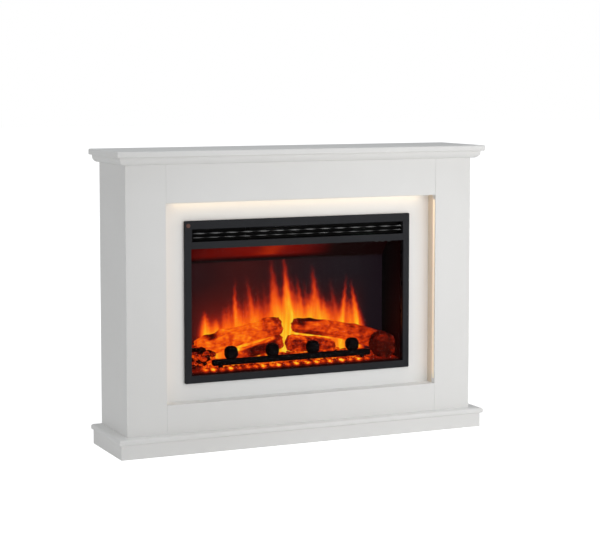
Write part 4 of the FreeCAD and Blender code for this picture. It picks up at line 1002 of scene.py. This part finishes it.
def screws():
    """Domed screws with a cross recess and a rolled thread, each where the CAD has one."""
    node = NODES["pan_head_screws"]
    points, faces = [], []
    for group in islands(node.data):
        spots = [node.matrix_world @ p for p in group]
        low = Vector([min(p[a] for p in spots) for a in range(3)])
        high = Vector([max(p[a] for p in spots) for a in range(3)])
        size = high - low
        axis = max(range(3), key=lambda a: size[a])
        u, v = [a for a in range(3) if a != axis]
        centre = (low + high) / 2
        radius = max(size[u], size[v]) / 2

        rim = [p[axis] for p in spots if math.hypot(p[u] - centre[u], p[v] - centre[v]) > radius * 0.9]
        head_high, head_low = max(rim), min(rim)
        to_high = abs(head_high - high[axis]) + abs(head_low - high[axis])
        to_low = abs(head_high - low[axis]) + abs(head_low - low[axis])
        outward = 1 if to_high < to_low else -1
        crown = high[axis] if outward > 0 else low[axis]
        tip = low[axis] if outward > 0 else high[axis]
        seat = head_low if outward > 0 else head_high
        shank = radius * 0.5

        def at(level, r, angle, sink=0.0):
            p = Vector((0, 0, 0))
            p[axis] = level - outward * sink
            p[u], p[v] = centre[u] + r * math.cos(angle), centre[v] + outward * r * math.sin(angle)
            return p

        rings = []
        long = abs(seat - tip)
        for i in range(41):
            share = i / 40
            cut = 0.88 + 0.12 * math.cos(share * long / 0.0011 * 2 * math.pi)
            level, r = tip + (seat - tip) * share, shank * cut * min(1, 0.35 + share * 6)
            rings.append([at(level, r, 2 * math.pi * j / 40) for j in range(40)])
        rings.append([at(seat, radius, 2 * math.pi * j / 40) for j in range(40)])
        for i in range(1, 15):
            share = i / 15
            r = radius * math.cos(share * math.pi / 2) ** 0.8
            dome = seat + (crown - seat) * math.sin(share * math.pi / 2) ** 0.7
            ring = []
            for j in range(40):
                angle = 2 * math.pi * j / 40
                arm = min(abs(r * math.cos(angle)), abs(r * math.sin(angle)))
                recess = abs(crown - seat) * 0.6 if arm < radius * 0.13 and r < radius * 0.6 else 0
                ring.append(at(dome, r, angle, recess))
            rings.append(ring)
        if axis == 1:
            rings = [ring[::-1] for ring in rings]
        loft(rings, points, faces)
    piece = new_piece("screws", points, faces, "zinc_steel")
    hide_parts("pan_head_screws")


# ---------------------------------------------------------------- stage

def look_at(item, target):
    direction = Vector(target) - item.location
    item.rotation_euler = direction.to_track_quat("-Z", "Y").to_matrix().to_euler()


def add_light(name, place, target, size, power, colour):
    light = bpy.data.lights.new(name, "AREA")
    light.shape = "RECTANGLE"
    light.size, light.size_y = size
    light.energy = power
    light.color = colour
    item = bpy.data.objects.new(name, light)
    item.location = place
    bpy.context.scene.collection.objects.link(item)
    look_at(item, target)


def stage():
    """A pale floor, soft studio light, and the camera in front and to the left, a little above the shelf."""
    mesh = bpy.data.meshes.new("floor")
    reach = 30
    corners = [(-reach, -reach, 0), (reach, -reach, 0), (reach, reach, 0), (-reach, reach, 0)]
    mesh.from_pydata(corners, [], [(0, 1, 2, 3)])
    floor = bpy.data.objects.new("floor", mesh)
    bpy.context.scene.collection.objects.link(floor)
    paint = Shader("floor_paint", base_color=(0.85, 0.85, 0.85), roughness=0.9)
    seen = paint.node("LightPath").outputs["Is Camera Ray"]
    paint.set("Emission Color", paint.mix(seen, (0.11, 0.11, 0.11), (1, 1, 1)))
    paint.set("Emission Strength", 0.8)
    mesh.materials.append(paint.material)

    world = bpy.data.worlds.new("studio")
    world.use_nodes = True
    bpy.context.scene.world = world
    tree = world.node_tree
    light = tree.nodes["Background"]
    light.inputs["Color"].default_value = (0.97, 0.985, 1.0, 1)
    light.inputs["Strength"].default_value = 0.39
    seen = tree.nodes.new("ShaderNodeBackground")
    seen.inputs["Color"].default_value = (1, 1, 1, 1)
    choice = tree.nodes.new("ShaderNodeMixShader")
    tree.links.new(tree.nodes.new("ShaderNodeLightPath").outputs["Is Camera Ray"], choice.inputs["Fac"])
    tree.links.new(light.outputs["Background"], choice.inputs[1])
    tree.links.new(seen.outputs["Background"], choice.inputs[2])
    tree.links.new(choice.outputs["Shader"], tree.nodes["World Output"].inputs["Surface"])

    add_light("key", (0.9, -4.2, 2.4), (0, 0, 0.30), (3.4, 2.4), 24, (1.0, 0.99, 0.975))
    add_light("foot", (0.6, -1.4, 0.62), (0.2, -0.05, 0.1), (0.8, 0.2), 3.2, (1.0, 0.99, 0.975))
    add_light("right", (2.2, -2.2, 0.7), (0.2, 0, 0.22), (1.4, 0.9), 10, (1.0, 0.98, 0.96))
    add_light("left", (-3.4, 0.4, 1.2), (-0.5, 0, 0.4), (1.6, 1.6), 10.5, (1.0, 0.99, 0.97))
    add_light("top", (-0.3, -0.6, 3.2), (0, 0, 0.8), (2.4, 1.6), 16, (0.93, 0.97, 1.0))
    for side in (-1, 1):
        place, target = (side * 0.4212, -0.0835, 0.43), (side * 0.4300, -0.053, 0.43)
        add_light("side_glow", place, target, (0.006, 0.53), 0.008, (1.0, 0.42, 0.07))
    add_light("top_glow", (0, -0.066, 0.7010), (0, -0.066, 0.4), (0.785, 0.008), 0.046, (1.0, 0.70, 0.32))

    camera = bpy.data.cameras.new("camera")
    camera.sensor_width = 36
    camera.lens = 102.9
    camera.shift_y = -0.10
    camera.clip_end = 100
    item = bpy.data.objects.new("camera", camera)
    item.location = (-2.048, -4.542, 1.050)
    yaw, pitch = math.radians(24.55), math.radians(-4.565)
    ahead = Vector((math.sin(yaw) * math.cos(pitch), math.cos(yaw) * math.cos(pitch), math.sin(pitch)))
    bpy.context.scene.collection.objects.link(item)
    look_at(item, item.location + ahead)
    bpy.context.scene.camera = item
    bpy.context.scene.view_settings.view_transform = "Standard"


stage()
flame_screen()
for log in LOGS:
    build_log(log)
ember_bed()
loose_coals()
cast_grate()
louvre()
screws()
